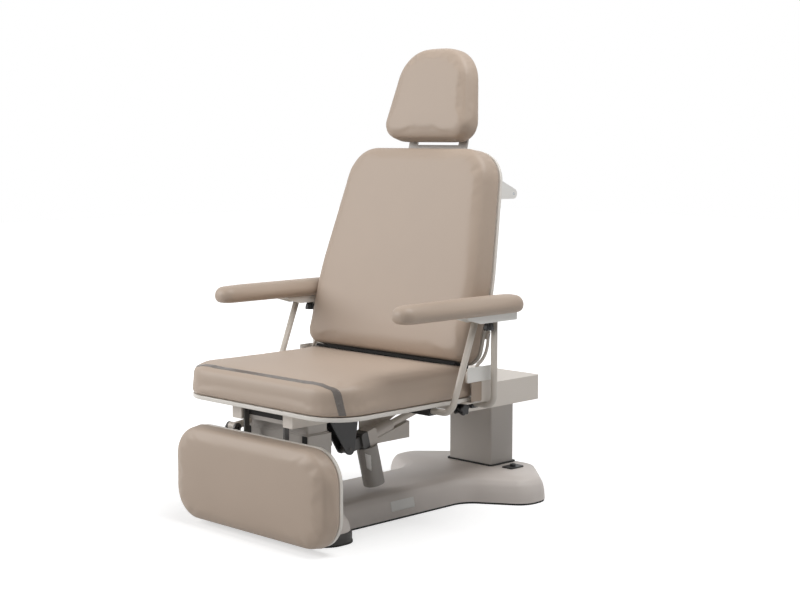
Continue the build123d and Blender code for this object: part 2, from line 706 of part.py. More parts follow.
def drive_plane(x, start, end):
    """Plane along an actuator: local X to its far eye, local Y up, local Z across the chair."""
    dy, dz = end[0] - start[0], end[1] - start[1]
    return Plane(origin=(x, *start), x_dir=(0, dy, dz), z_dir=(1 if dy > 0 else -1, 0, 0))


def actuator_body(plane, tube_l):
    """Eye, gear housing and outer tube of an actuator."""
    eye = Cylinder(LEVER_EYE_R, EYE_W)
    neck = block(0, MOTOR_AT, -ROD_R - OVERRUN, ROD_R + OVERRUN, -EYE_W / 2, EYE_W / 2)
    gear = block(MOTOR_AT - GEAR_L / 2, MOTOR_AT + GEAR_L / 2, -TUBE_R - BAR, TUBE_R + BAR, -GEAR_HALF,
                 GEAR_HALF)
    gear = chamfer(gear.edges().filter_by(Axis.Z), BAR)
    tube = Pos(MOTOR_AT, 0, 0) * Rot(0, 90, 0) * Cylinder(TUBE_R, tube_l - MOTOR_AT,
                                                          align=(Align.CENTER, Align.CENTER, Align.MIN))
    return plane * (eye + neck + gear + tube) - actuator_bores(plane, tube_l)


def actuator_bores(plane, tube_l):
    """Cutting tool for an actuator's rod bore and its pin."""
    bore = Pos(LEVER_EYE_R + BAR, 0, 0) * Rot(0, 90, 0) * Cylinder(
        ROD_R + GAP, tube_l, align=(Align.CENTER, Align.CENTER, Align.MIN))
    return plane * (bore + Cylinder(PIN_R + RUN, 2 * EYE_W))


def back_drive_body():
    """Body of the back drive, with the moulded cable case under its tube.

    The case reaches past the tube, under the rod and between the lever's plates.
    """
    drop = LEVER_EYE_R + 2 * SIDE_GAP
    case = make_face(Polyline((CASE_FRONT, CASE_UNDER), (CASE_REAR, CASE_UNDER),
                              (CASE_REAR, back_drive_z(CASE_REAR) - drop),
                              (CASE_FRONT, back_drive_z(CASE_FRONT) - drop), close=True))
    half = FORK / 2 - SIDE_GAP
    case = side_plate(case, DRIVE_X - half, DRIVE_X + half) - actuator_motor(back_drive, GAP)
    return actuator_body(back_drive, BACK_TUBE_L) + case


def back_drive_z(y):
    """Height of the back drive's axis at y."""
    return HANGER_Z + (BACK_ROD_Z - HANGER_Z) * (y - HANGER_Y) / (BACK_ROD_Y - HANGER_Y)


def actuator_motor(plane, grown=0.0):
    """Motor barrel hanging from the gear housing."""
    top = TUBE_R + BAR
    barrel = Pos(MOTOR_AT, -top, 0) * Rot(90, 0, 0) * Cylinder(
        MOTOR_R + grown, MOTOR_L - top, align=(Align.CENTER, Align.CENTER, Align.MIN))
    return plane * barrel


def actuator_rod(plane, start, length):
    """Piston rod with its far eye."""
    rod = Pos(start, 0, 0) * Rot(0, 90, 0) * Cylinder(ROD_R, length - start,
                                                      align=(Align.CENTER, Align.CENTER, Align.MIN))
    eye = Pos(length, 0, 0) * Cylinder(LEVER_EYE_R, EYE_W)
    return plane * (rod + eye)


def back_drive_rod():
    """Rod of the back drive, with the pin that runs in the lever's slot."""
    reach = FORK / 2 + BAR
    return actuator_rod(back_drive, BACK_TUBE_L - BACK_ROD_IN, back_drive_l) + rod_x(
        DRIVE_PIN_R, DRIVE_X - reach, DRIVE_X + reach, BACK_ROD_Y, BACK_ROD_Z)


def leg_cushion():
    """Padded leg rest."""
    size = (LEG_HALF, LEG_HALF, LEG_LOW, LEG_HIGH, LEG_R, LEG_R)
    return cushion(leg_plane.offset(-LEG_T), size, LEG_T, LEG_EDGE, CUSHION_SHARES)


def leg_plate():
    """Painted plate behind the leg cushion."""
    size = (LEG_HALF, LEG_HALF, LEG_LOW, LEG_HIGH, LEG_R, LEG_R)
    return leg_plane.offset(-LEG_T - PLATE_T) * extrude(panel(*size, inset=SHEET), PLATE_T)


def leg_frame():
    """Two arms from the front pivots to the leg plate, a cross strap and the drive fork."""
    face = LEG_FACE_Y + LEG_T + PLATE_T
    low_eye = (LEG_PIVOT_Y, LEG_HIGH - 2 * LEG_ARM_EYE_R)
    arm = link_shape((LEG_PIVOT_Y, LEG_PIVOT_Z), LEG_ARM_EYE_R, low_eye, LEG_ARM_EYE_R)
    foot_mid = (LEG_ARM_LOW + low_eye[1]) / 2
    width = LEG_PIVOT_Y + LEG_ARM_EYE_R - face
    arm += Pos(face + width / 2, foot_mid) * Rectangle(width, low_eye[1] - LEG_ARM_LOW)
    frame = both(side_plate(arm, LEG_ARM_X, LEG_ARM_X + BAR))
    strap_z = LEG_ARM_LOW + SHOULDER
    reach = -LEG_DRIVE_X + FORK / 2 + BAR
    frame += block(-reach, LEG_ARM_X + BAR, face, face + BAR, strap_z, strap_z + SHOULDER)
    eye = Pos(LEG_EYE_Y, LEG_EYE_Z) * Circle(LEVER_EYE_R)
    root = Pos(face + SHEET / 2, strap_z + SHOULDER) * Rectangle(SHEET, 2 * SHOULDER)
    frame += fork(make_hull((eye + root).edges()), LEG_DRIVE_X)
    return frame - pin_bore(LEG_PIVOT_Y, LEG_PIVOT_Z) - pin_bore(LEG_EYE_Y, LEG_EYE_Z)


def head_size():
    """Outline of the headrest in its own plane."""
    return (HEAD_HALF_LOW, HEAD_HALF_HIGH, HEAD_LOW, HEAD_HIGH, HEAD_R_LOW, HEAD_R_HIGH)


def headrest_cushion():
    """Padded headrest, narrower and rounder at the top."""
    return cushion(head_plane.offset(-HEAD_T), head_size(), HEAD_T, HEAD_EDGE, CUSHION_SHARES)


def headrest_plate():
    """Plate behind the headrest with the ears of its tilt hinge."""
    plate = head_plane.offset(-HEAD_T - HEAD_PLATE_T) * extrude(
        panel(*head_size(), inset=HEAD_PLATE_IN), HEAD_PLATE_T)
    y, z = hinge_axis()
    back_y, back_z = head_rear(z)
    ear = make_hull((Pos(y, z) * Circle(PIN_R + SHEET)
                     + Pos(back_y + SHEET / 2, back_z) * Rectangle(SHEET, 2 * KNOB_R)).edges())
    x0 = POST_X - POST_W / 2 - SIDE_GAP
    x1 = POST_X + POST_W / 2 + SIDE_GAP
    ears = side_plate(ear, x0 - SHEET, x0) + side_plate(ear, x1, x1 + SHEET)
    return plate + both(ears) - pin_bore(y, z)


def post_depth():
    """Depth of the posts' front face behind the face of the back."""
    return BACK_T + BACK_PLATE_T + GUIDE_WALL + RUN


def hinge_axis():
    """Y and Z of the headrest's tilt axis, at the top of the posts."""
    return on_back(POST_TOP, post_depth() + POST_T / 2)


def head_rear(z):
    """Point on the rear face of the headrest plate at height z."""
    depth = HEAD_T + HEAD_PLATE_T
    along = (z - HEAD_FACE_Z + depth * sin(radians(HEAD_LEAN))) / cos(radians(HEAD_LEAN))
    point = head_plane.from_local_coords((0, along, -depth))
    return (point.Y, point.Z)


def headrest_posts():
    """Two flat posts, their cross bar and the tilt pins at the top."""
    near = -post_depth()
    post = back_plane * block(POST_X - POST_W / 2, POST_X + POST_W / 2, POST_TOP - POST_L, POST_TOP,
                              near - POST_T, near)
    y, z = hinge_axis()
    reach = POST_W / 2 + 2 * SHEET + SIDE_GAP
    post += rod_x(POST_T, POST_X - POST_W / 2, POST_X + POST_W / 2, y, z)
    post += rod_x(PIN_R, POST_X - reach, POST_X + reach, y, z)
    bar = back_plane * block(-POST_X, POST_X, BACK_HIGH + OVERRUN, BACK_HIGH + OVERRUN + POST_W / 2,
                             near - POST_T, near)
    return both(post) + bar


def post_guides():
    """Guide sleeve for each post, on the back plate."""
    depth = BACK_T + BACK_PLATE_T
    outer_t = POST_T + 2 * RUN + 2 * GUIDE_WALL
    half = POST_W / 2 + RUN + GUIDE_WALL
    y0, y1 = GUIDE_AT, GUIDE_AT + GUIDE_H
    guide = block(POST_X - half, POST_X + half, y0, y1, -depth - outer_t, -depth)
    guide -= block(POST_X - half + GUIDE_WALL, POST_X + half - GUIDE_WALL, y0 - OVERRUN, y1 + OVERRUN,
                   -depth - outer_t + GUIDE_WALL, -depth - GUIDE_WALL)
    boss = Pos(POST_X, (y0 + y1) / 2, -depth - outer_t - BAR / 2) * Cylinder(STUD_R + SHEET, BAR)
    hole = Pos(POST_X, (y0 + y1) / 2, -depth - outer_t) * Cylinder(STUD_R + RUN, 2 * BAR + SHEET)
    return back_plane * (guide + boss - hole + mirror(guide, Plane.YZ))


def flared_knob(radius, height):
    """Clamp knob with flats that widens away from its stud side, with a neck."""
    neck = RegularPolygon(radius * KNOB_NECK_SHARE, 2 * ROUND_STEPS)
    top = Pos(0, 0, height) * RegularPolygon(radius, 2 * ROUND_STEPS)
    return loft([neck, top], ruled=True) + Pos(0, 0, -SHEET) * extrude(neck, SHEET)


def headrest_knob():
    """Clamp knob of the headrest posts, behind the near guide."""
    depth = BACK_T + BACK_PLATE_T + POST_T + 2 * RUN + 2 * GUIDE_WALL + BAR
    knob = Pos(0, 0, SHEET + GAP) * flared_knob(KNOB_R, KNOB_H)
    stud = Pos(0, 0, -BAR - GUIDE_WALL) * Cylinder(STUD_R, BAR + GUIDE_WALL + SHEET,
                                                   align=(Align.CENTER, Align.CENTER, Align.MIN))
    place = Pos(POST_X, GUIDE_AT + GUIDE_H / 2, -depth) * Rot(180, 0, 0)
    return back_plane * (place * (knob + stud))


def roll_brackets():
    """Cheek on each side behind the top of the back, for the paper roll rod."""
    rear = BACK_T + BACK_PLATE_T
    tip = on_back(ROLL_ALONG, rear + ROLL_OUT)
    low, high = on_back(ROLL_LOW, rear), on_back(ROLL_HIGH, rear)
    low_in, high_in = on_back(ROLL_LOW, rear + SHEET), on_back(ROLL_HIGH, rear + SHEET)
    root = make_face(Polyline(low, high, high_in, low_in, close=True))
    cheek = make_hull((root + Pos(*tip) * Circle(ROLL_EYE_R)).edges())
    plate = side_plate(cheek, ROLL_HALF, ROLL_HALF + SHEET)
    plate += back_plane * block(ROLL_HALF - ARM_TAB / 2, ROLL_HALF + SHEET, ROLL_LOW, ROLL_HIGH,
                                -rear - SHEET, -rear)
    plate -= rod_x(PIN_R + RUN, ROLL_HALF - OVERRUN, ROLL_HALF + 2 * OVERRUN, *tip)
    return both(plate)


def roll_rod():
    """Rod for the paper roll, with a journal in each cheek."""
    tip = on_back(ROLL_ALONG, BACK_T + BACK_PLATE_T + ROLL_OUT)
    rod = rod_x(ROLL_R, -ROLL_HALF + SIDE_GAP, ROLL_HALF - SIDE_GAP, *tip)
    return rod + rod_x(PIN_R, -ROLL_HALF - SHEET, ROLL_HALF + SHEET, *tip)


def arm_tubes():
    """Rear and front leg of the armrest, each bent in under the seat."""
    top = CHANNEL_TOP - SHEET
    legs = []
    for top_y, foot_y in ((REAR_LEG_Y, REAR_LEG_Y), (FRONT_LEG_TOP_Y, FRONT_LEG_FOOT_Y)):
        path = FilletPolyline((FOOT_IN, foot_y, FOOT_Z), (ARMREST_X, foot_y, FOOT_Z),
                              (ARMREST_X, top_y, top), radius=FOOT_BEND)
        section = RegularPolygon(ARM_TUBE_R, 2 * ROUND_STEPS)
        leg = sweep(Plane(origin=path @ 0, z_dir=path % 0) * section, path)
        legs.append(leg - block(0, 2 * ARMREST_X, 2 * SEAT_FRONT, 0, top, top + 4 * OVERRUN))
    return sum_of(legs)


def arm_channel():
    """Folded channel on top of both legs."""
    half = CHANNEL_HALF
    x0, x1 = ARMREST_X - half, ARMREST_X + half
    channel = block(x0, x1, CHANNEL_FRONT, CHANNEL_REAR, CHANNEL_LOW, CHANNEL_TOP)
    nose = channel.edges().filter_by(Axis.X).sort_by_distance((ARMREST_X, CHANNEL_FRONT, CHANNEL_LOW))[0]
    channel = chamfer(nose, NOSE_H, NOSE_L)
    channel -= block(x0 + SHEET, x1 - SHEET, CHANNEL_FRONT - OVERRUN, CHANNEL_REAR - SHEET,
                     CHANNEL_LOW - OVERRUN, CHANNEL_TOP - SHEET)
    slot = link_shape((ARMREST_X, PAD_KNOB_Y), STUD_R + RUN, (ARMREST_X, PAD_KNOB_Y - PAD_SLIDE),
                      STUD_R + RUN)
    return channel - Pos(0, 0, CHANNEL_LOW) * extrude(slot, CHANNEL_TOP - CHANNEL_LOW + OVERRUN)


def arm_pad():
    """Armrest pad with rounded ends, held by the clamp stud that slides in the channel."""
    plane = Plane(origin=(ARMREST_X, 0, CHANNEL_TOP + GAP), x_dir=(1, 0, 0), z_dir=(0, 0, 1))
    size = (ARM_PAD_HALF_FRONT, ARM_PAD_HALF_REAR, ARM_PAD_FRONT, ARM_PAD_REAR,
            ARM_PAD_HALF_FRONT * END_SHARE, ARM_PAD_HALF_REAR * END_SHARE)
    pad = cushion(plane, size, ARM_PAD_T, ARM_PAD_EDGE, ARM_PAD_SHARES)
    return pad - rod_z(STUD_R + RUN, CHANNEL_TOP, CHANNEL_TOP + STUD_IN + SIDE_GAP, ARMREST_X,
                       PAD_KNOB_Y)


def pad_knob():
    """Clamp knob under the channel, its stud in the pad."""
    knob = Pos(0, 0, -SHEET) * Rot(180, 0, 0) * flared_knob(PAD_KNOB_R, PAD_KNOB_H - SHEET)
    stud = Pos(0, 0, -SHEET) * Cylinder(STUD_R, CHANNEL_TOP - CHANNEL_LOW + STUD_IN + SHEET,
                                        align=(Align.CENTER, Align.CENTER, Align.MIN))
    return Pos(ARMREST_X, PAD_KNOB_Y, CHANNEL_LOW) * (knob + stud)


def clamp_knob():
    """Clamp knob of the armrest socket, under the side of the seat."""
    knob = Pos(0, 0, SHEET + GAP) * flared_knob(CLAMP_KNOB_R, CLAMP_KNOB_H)
    stud = Pos(0, 0, -2 * SHEET) * Cylinder(STUD_R, 4 * SHEET + GAP,
                                            align=(Align.CENTER, Align.CENTER, Align.MIN))
    return Pos(SOCKET_OUT, CLAMP_KNOB_Y, CLAMP_KNOB_Z) * Rot(0, 90, 0) * (knob + stud)


back_drive = drive_plane(DRIVE_X, (HANGER_Y, HANGER_Z), (BACK_ROD_Y, BACK_ROD_Z))
back_drive_l = hypot(BACK_ROD_Y - HANGER_Y, BACK_ROD_Z - HANGER_Z)
leg_drive = drive_plane(LEG_DRIVE_X, (LEG_DRIVE_Y, LEG_DRIVE_Z), (LEG_EYE_Y, LEG_EYE_Z))
leg_drive_l = hypot(LEG_EYE_Y - LEG_DRIVE_Y, LEG_EYE_Z - LEG_DRIVE_Z)


rear_top = RAIL_UNDER - COL_HEAD_T

parts = {
    "base_pad": base_pad(),
    "base_cover": base_cover(),
    "base_chassis": base_chassis(),
    "rear_column_outer": column(REAR_COL_W, REAR_COL_D, 0, 0, COL_OUTER_TOP),
    "rear_column_middle": column(REAR_COL_W, REAR_COL_D, 0, 1, COL_OUTER_TOP + STAGE_STEP),
    "rear_column_inner": column(REAR_COL_W, REAR_COL_D, 0, 2, rear_top),
    "front_column_outer": column(FRONT_COL_W, FRONT_COL_D, FRONT_COL_Y, 0, COL_OUTER_TOP),
    "front_column_middle": column(FRONT_COL_W, FRONT_COL_D, FRONT_COL_Y, 1, COL_OUTER_TOP + STAGE_STEP),
    "front_column_inner": column(FRONT_COL_W, FRONT_COL_D, FRONT_COL_Y, 2, RAIL_UNDER),
    "front_column_frame": front_column_frame(),
    "column_collar": column_collar(),
    "inlet_panel": inlet_panel(),
    "lift_motors": lift_motors(),
    "lift_spindles": lift_spindles(),
    "seat_rails": seat_rails(),
    "cross_beams": cross_beams(),
    "seat_plate": seat_plate(),
    "seat_cushion": seat_cushion(),
    "paper_strap": paper_strap(),
    "frame_housing": frame_housing(),
    "control_box": control_box(),
    "hinge_plates": hinge_plates(),
    "pivot_pins": pivot_pins(),
    "hanger_bracket": hanger_bracket(),
    "leg_drive_bracket": leg_drive_bracket(),
    "arm_sockets": arm_sockets(),
    "frame_screws": frame_screws(),
    "leg_frame": leg_frame(),
    "leg_plate": leg_plate(),
    "leg_cushion": leg_cushion(),
    "leg_actuator_body": actuator_body(leg_drive, LEG_TUBE_L),
    "leg_actuator_motor": actuator_motor(leg_drive),
    "leg_actuator_rod": actuator_rod(leg_drive, LEG_TUBE_L - LEG_ROD_IN, leg_drive_l),
    "back_actuator_body": back_drive_body(),
    "back_actuator_motor": actuator_motor(back_drive),
    "back_actuator_rod": back_drive_rod(),
    "back_plate": back_plate(),
    "back_cushion": back_cushion(),
    "back_strip": back_strip(),
    "back_arms": back_arms(),
    "back_lever": back_lever(),
    "post_guides": post_guides(),
    "roll_brackets": roll_brackets(),
    "roll_rod": roll_rod(),
    "headrest_posts": headrest_posts(),
    "headrest_plate": headrest_plate(),
    "headrest_cushion": headrest_cushion(),
    "headrest_knob": headrest_knob(),
}
for name, make in (("arm_tubes", arm_tubes), ("arm_channel", arm_channel), ("arm_pad", arm_pad),
                   ("pad_knob", pad_knob), ("clamp_knob", clamp_knob)):
    shape = make()
    parts["left_" + name] = shape
    parts["right_" + name] = mirror(shape, Plane.YZ)

os.makedirs("parts", exist_ok=True)
for name, shape in parts.items():
    export_step(shape, f"parts/{name}.step")
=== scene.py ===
import math
import bmesh
import bpy
import numpy as np
from mathutils import Matrix


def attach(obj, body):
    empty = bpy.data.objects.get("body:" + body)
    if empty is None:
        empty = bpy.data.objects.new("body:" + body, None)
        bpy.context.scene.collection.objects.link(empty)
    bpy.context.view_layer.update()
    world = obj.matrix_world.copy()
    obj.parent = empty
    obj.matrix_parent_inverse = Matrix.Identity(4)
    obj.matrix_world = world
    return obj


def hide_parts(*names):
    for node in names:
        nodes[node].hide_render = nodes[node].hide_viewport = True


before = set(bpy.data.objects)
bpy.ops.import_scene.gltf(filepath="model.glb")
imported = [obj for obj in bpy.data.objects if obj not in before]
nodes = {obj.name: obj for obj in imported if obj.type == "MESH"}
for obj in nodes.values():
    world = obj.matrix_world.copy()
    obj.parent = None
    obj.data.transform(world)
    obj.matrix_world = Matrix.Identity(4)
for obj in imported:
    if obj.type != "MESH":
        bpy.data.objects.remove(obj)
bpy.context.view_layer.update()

# The photo studio: a pale sweep under and behind the chair, a broad light to the left of the
# camera, and one overhead and to the right, so that the near side falls off softly.
SWEEP, SWEEP_HALF = "dedede", 14.0
# To the camera the sweep also glows: with the low strength up to the near distance in metres
# from the chair's rear column, and with the high one past the far distance.
GLOW_NEAR, GLOW_FAR, GLOW_LOW, GLOW_HIGH = 0.9, 4.0, 0.56, 1.0
# The air's strength as light on the chair, and as the camera sees it.
AIR_LIGHT, AIR_SEEN = 0.20, 1.0


def linear(hex_colour):
    """sRGB hex to linear: below 0.04045 a share of 1/12.92, above it the 2.4 power curve."""
    c = np.array([int(hex_colour[i:i + 2], 16) for i in (0, 2, 4)]) / 255
    low, high = c / 12.92, ((c + 0.055) / 1.055) ** 2.4
    return (*np.where(c <= 0.04045, low, high), 1.0)


def add(tree, kind, inputs=None, **settings):
    """One node with its settings; an input is a value or the socket that feeds it."""
    made = tree.nodes.new(kind)
    for name, value in settings.items():
        setattr(made, name, value)
    for name, value in (inputs or {}).items():
        if isinstance(value, bpy.types.NodeSocket):
            tree.links.new(value, made.inputs[name])
        else:
            made.inputs[name].default_value = value
    return made


def blank(name):
    """A material with an empty node tree."""
    made = bpy.data.materials.new(name)
    made.use_nodes = True
    made.node_tree.nodes.clear()
    return made, made.node_tree


def seen_share(tree):
    """One for a ray from the camera or from a glossy reflection, and nought for all others."""
    ray = add(tree, "ShaderNodeLightPath")
    seen = add(tree, "ShaderNodeMath", {0: ray.outputs["Is Camera Ray"],
                                        1: ray.outputs["Is Glossy Ray"]}, operation="MAXIMUM")
    return seen.outputs[0]


def turned(place, back):
    """The matrix of a lamp or camera at a place: its back points along the given direction, its
    right side is level, and its top is the cross product of the two."""
    back = back / np.linalg.norm(back)
    right = np.cross((0.0, 0.0, 1.0), back)
    right /= np.linalg.norm(right)
    turn = np.column_stack([right, np.cross(back, right), back])
    return Matrix([[*turn[i], place[i]] for i in range(3)] + [[0, 0, 0, 1]])


# Matt pale paper sweep: no reflection, and an even tone behind the chair.
sweep_paint, tree = blank("studio_sweep")
matt = add(tree, "ShaderNodeBsdfDiffuse", {"Color": linear(SWEEP), "Roughness": 1.0})
spot = add(tree, "ShaderNodeTexCoord").outputs["Object"]
reach = add(tree, "ShaderNodeVectorMath", {0: spot}, operation="LENGTH")
rise = add(tree, "ShaderNodeMapRange", {0: reach.outputs["Value"], 1: GLOW_NEAR, 2: GLOW_FAR,
                                        3: GLOW_LOW, 4: GLOW_HIGH})
glow = add(tree, "ShaderNodeEmission", {"Color": (1, 1, 1, 1), "Strength": rise.outputs[0]})
both = add(tree, "ShaderNodeAddShader", {0: matt.outputs[0], 1: glow.outputs[0]})
pick = add(tree, "ShaderNodeMixShader", {0: seen_share(tree), 1: matt.outputs[0],
                                         2: both.outputs[0]})
add(tree, "ShaderNodeOutputMaterial", {"Surface": pick.outputs[0]})

h = SWEEP_HALF
floor_mesh = bpy.data.meshes.new("studio_floor")
floor_mesh.from_pydata([(-h, -h, 0), (h, -h, 0), (h, h, 0), (-h, h, 0)], [], [(0, 1, 2, 3)])
floor_mesh.materials.append(sweep_paint)
studio_floor = bpy.data.objects.new("studio_floor", floor_mesh)
bpy.context.scene.collection.objects.link(studio_floor)

world = bpy.data.worlds.new("studio_air")
bpy.context.scene.world = world
world.use_nodes = True
air = world.node_tree
air.nodes.clear()
level = add(air, "ShaderNodeMapRange", {0: seen_share(air), 3: AIR_LIGHT, 4: AIR_SEEN})
sky = add(air, "ShaderNodeBackground", {"Color": (1, 1, 1, 1), "Strength": level.outputs[0]})
add(air, "ShaderNodeOutputWorld", {"Surface": sky.outputs[0]})

AIM = np.array([0.0, -0.45, 0.60])
for name, place, size, watts in (("left_softbox", (-2.8, -3.8, 2.4), 2.6, 124),
                                 ("top_softbox", (1.4, -0.2, 4.0), 2.4, 104)):
    lamp = bpy.data.lights.new(name, "AREA")
    lamp.energy, lamp.size = watts, size
    holder = bpy.data.objects.new(name, lamp)
    bpy.context.scene.collection.objects.link(holder)
    holder.matrix_world = turned(place, np.array(place) - AIM)

# The camera: a long lens at about the sitter's head height, in front of the chair's left
# corner. Its length is the one that the photo's edges gave, in pixels of a picture 800 wide.
LENS_PX, PICTURE_WIDE, SENSOR = 1549.4, 800, 36.0
CAMERA_AT, VIEW_TURN, VIEW_DOWN = (3.303, -3.691, 1.136), math.radians(44.87), math.radians(6.16)
lens = bpy.data.cameras.new("photo_view")
lens.sensor_width, lens.lens = SENSOR, SENSOR * LENS_PX / PICTURE_WIDE
camera = bpy.data.objects.new("photo_view", lens)
bpy.context.scene.collection.objects.link(camera)
away = np.array([math.sin(VIEW_TURN) * math.cos(VIEW_DOWN),
                 -math.cos(VIEW_TURN) * math.cos(VIEW_DOWN), math.sin(VIEW_DOWN)])
camera.matrix_world = turned(CAMERA_AT, away)
bpy.context.scene.camera = camera
bpy.context.scene.view_settings.view_transform = "Standard"

# The base cover: one vacuum-formed ABS shell over the steel chassis, with a soft shoulder all
# round its cross foot, spine and rear wings. It sits on the rubber pad.
COVER_LOW, COVER_HIGH, SHOULDER = 0.006, 0.082, 0.048
COVER_SHARES = ((0.0, 0.0), (0.22, 0.02), (0.52, 0.09), (0.78, 0.27), (0.93, 0.56), (1.0, 1.0))
# The corners of its left half, from the front: X, Y and corner radius.
COVER_HALF = [(0.238, -0.905, 0.063), (0.238, -0.768, 0.063), (0.137, -0.768, 0.040),
              (0.137, -0.232, 0.085), (0.302, -0.125, 0.072), (0.302, -0.036, 0.072),
              (0.150, 0.108, 0.070)]


def rounded(corners, radii, steps):
    """Outlines with an arc at each corner, one outline per row. An arc's point is its centre plus
    the radius times the direction that turns evenly from one side's normal to the next side's."""
    before = corners - np.roll(corners, 1, axis=1)
    after = np.roll(corners, -1, axis=1) - corners
    before /= np.linalg.norm(before, axis=2, keepdims=True)
    after /= np.linalg.norm(after, axis=2, keepdims=True)
    swing = np.arctan2(before[..., 0] * after[..., 1] - before[..., 1] * after[..., 0],
                       (before * after).sum(2))
    bulge = np.sign(swing)
    normal = np.stack([before[..., 1], -before[..., 0]], 2)
    start = corners - before * (radii * np.tan(np.abs(swing) / 2))[..., None]
    centre = start - normal * (radii * bulge)[..., None]
    angle = np.arctan2(normal[..., 1], normal[..., 0])[..., None] + swing[..., None] * np.linspace(
        0, 1, steps)
    out = np.stack([np.cos(angle), np.sin(angle)], 3)
    points = centre[:, :, None] + out * (radii * bulge)[..., None, None]
    rows = len(corners)
    return points.reshape(rows, -1, 2), out.reshape(rows, -1, 2)


def smooth_steps(table, count):
    """Share and draw-in read along the table's run, eased between its rows by a cubic (Hermite)."""
    t = np.array(table)
    slope = np.gradient(t[:, 1], t[:, 0])
    x = (1 - np.cos(np.linspace(0, math.pi, count))) / 2
    k = np.clip(np.searchsorted(t[:, 0], x, "right") - 1, 0, len(t) - 2)
    gap = t[k + 1, 0] - t[k, 0]
    u = (x - t[k, 0]) / gap
    y = ((1 + 2 * u) * (1 - u) ** 2 * t[k, 1] + u * (1 - u) ** 2 * gap * slope[k]
         + u * u * (3 - 2 * u) * t[k + 1, 1] + u * u * (u - 1) * gap * slope[k + 1])
    return x, y


def lifted(plan, height):
    """Outlines in X and Y, one per row, each at its row's height."""
    column = height[:, None, None]
    return np.concatenate([plan, np.broadcast_to(column, (*plan.shape[:2], 1))], 2)


def skin(name, grid, wrap=True, low_cap=True, high_cap=True, soft=True):
    """A mesh over a grid of points: rows run up the piece and columns run round it. Each cell is
    the quad between two rows and two columns, and a cap closes the first and last row."""
    rows, cols = grid.shape[:2]
    at = np.arange(rows * cols).reshape(rows, cols)
    step = np.roll(at, -1, axis=1) if wrap else at[:, 1:]
    base = at if wrap else at[:, :-1]
    quads = np.stack([base[:-1], step[:-1], step[1:], base[1:]], 2).reshape(-1, 4).tolist()
    if low_cap:
        quads.append(at[0][::-1].tolist())
    if high_cap:
        quads.append(at[-1].tolist())
    mesh = bpy.data.meshes.new(name)
    mesh.from_pydata(grid.reshape(-1, 3).tolist(), [], quads)
    mesh.polygons.foreach_set("use_smooth", np.full(len(quads), soft))
    made = bpy.data.objects.new(name, mesh)
    bpy.context.scene.collection.objects.link(made)
    return made


corners = np.array(COVER_HALF + [(-x, y, r) for x, y, r in reversed(COVER_HALF)])[None]
plan, plan_out = rounded(corners[..., :2].copy(), corners[..., 2], steps=14)
high, draw = smooth_steps(COVER_SHARES, count=26)
cover = plan - plan_out * (draw * SHOULDER)[:, None, None]
base_shell = skin("base_shell", lifted(cover, COVER_LOW + (COVER_HIGH - COVER_LOW) * high))


def two_tones(tree, scale, detail, margin, shade, colour):
    """Two close tones in slow patches: a noise at the piece's own place, read through a ramp
    that leaves out the margin at both ends. Gives the place, the noise and the tone."""
    place = add(tree, "ShaderNodeTexCoord").outputs["Object"]
    patch = add(tree, "ShaderNodeTexNoise", {"Vector": place, "Scale": scale, "Detail": detail})
    tone = add(tree, "ShaderNodeValToRGB", {"Fac": patch.outputs[0]})
    first, last = tone.color_ramp.elements
    first.position, last.position = margin, 1 - margin
    first.color, last.color = linear(shade), linear(colour)
    return place, patch.outputs[0], tone.outputs[0]


def moulded(name, colour, shade, rough, grain_mm, depth):
    """Moulded plastic: two close tones in slow patches, and a fine spark-eroded grain as bump."""
    made, tree = blank(name)
    place, patch, tone = two_tones(tree, 5.0, 3.0, 0.3, shade, colour)
    grain = add(tree, "ShaderNodeTexNoise", {"Vector": place, "Scale": 1000 / grain_mm,
                                             "Detail": 4.0})
    bump = add(tree, "ShaderNodeBump", {"Height": grain.outputs[0], "Strength": 0.35,
                                        "Distance": depth})
    scuff = add(tree, "ShaderNodeMapRange", {0: patch, 3: rough - 0.05, 4: rough + 0.05})
    look = add(tree, "ShaderNodeBsdfPrincipled", {
        "Base Color": tone, "Roughness": scuff.outputs[0], "Normal": bump.outputs[0],
        "IOR": 1.49})
    add(tree, "ShaderNodeOutputMaterial", {"Surface": look.outputs[0]})
    return made


# Warm grey ABS, grained so that it shows a broad dull highlight and no scratches.
cover_abs = moulded("textured_grey_abs", "d8d0ca", "d1c9c3", 0.46, 2.2, 0.00025)
base_shell.data.materials.append(cover_abs)
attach(base_shell, "base")
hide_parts("base_cover")

# The shade band: a dark rubber band pressed on round the cross foot, 28 mm high, with its upper
# edge rolled in. Its dark tone is painted shade: the foot's end lies in the shade under the leg
# section.
SHADE_BAND_X, SHADE_BAND_FRONT, SHADE_BAND_REAR, SHADE_BAND_R = 0.2405, -0.9075, -0.7655, 0.0655
SHADE_BAND_HIGH, SHADE_BAND_ROLL = 0.034, 0.0045
shade_band_corners = np.array([[[SHADE_BAND_X, SHADE_BAND_FRONT], [SHADE_BAND_X, SHADE_BAND_REAR], [-SHADE_BAND_X, SHADE_BAND_REAR],
                          [-SHADE_BAND_X, SHADE_BAND_FRONT]]])
plan, plan_out = rounded(shade_band_corners, np.full((1, 4), SHADE_BAND_R), steps=18)
turn_in = np.linspace(0, math.pi / 2, 6)
roll = np.concatenate([[0.0], SHADE_BAND_ROLL * (1 - np.cos(turn_in))])[:, None, None]
level = np.concatenate([[COVER_LOW], SHADE_BAND_HIGH - SHADE_BAND_ROLL * (1 - np.sin(turn_in))])
foot_shade_band = skin("foot_shade_band", lifted(plan - plan_out * roll, level))
# Slate rubber, dull and a little paler than the pad under the base. Its dark tone is painted
# shade on the foot's end.
shade_band_rubber = moulded("painted_shade_slate_rubber", "4c4a49", "444241", 0.70, 3.0, 0.0003)
foot_shade_band.data.materials.append(shade_band_rubber)
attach(foot_shade_band, "base")


def finish(material, *names):
    """Each named CAD node takes the material instead of its own."""
    for name in names:
        held = nodes[name].data.materials
        held.clear()
        held.append(material)
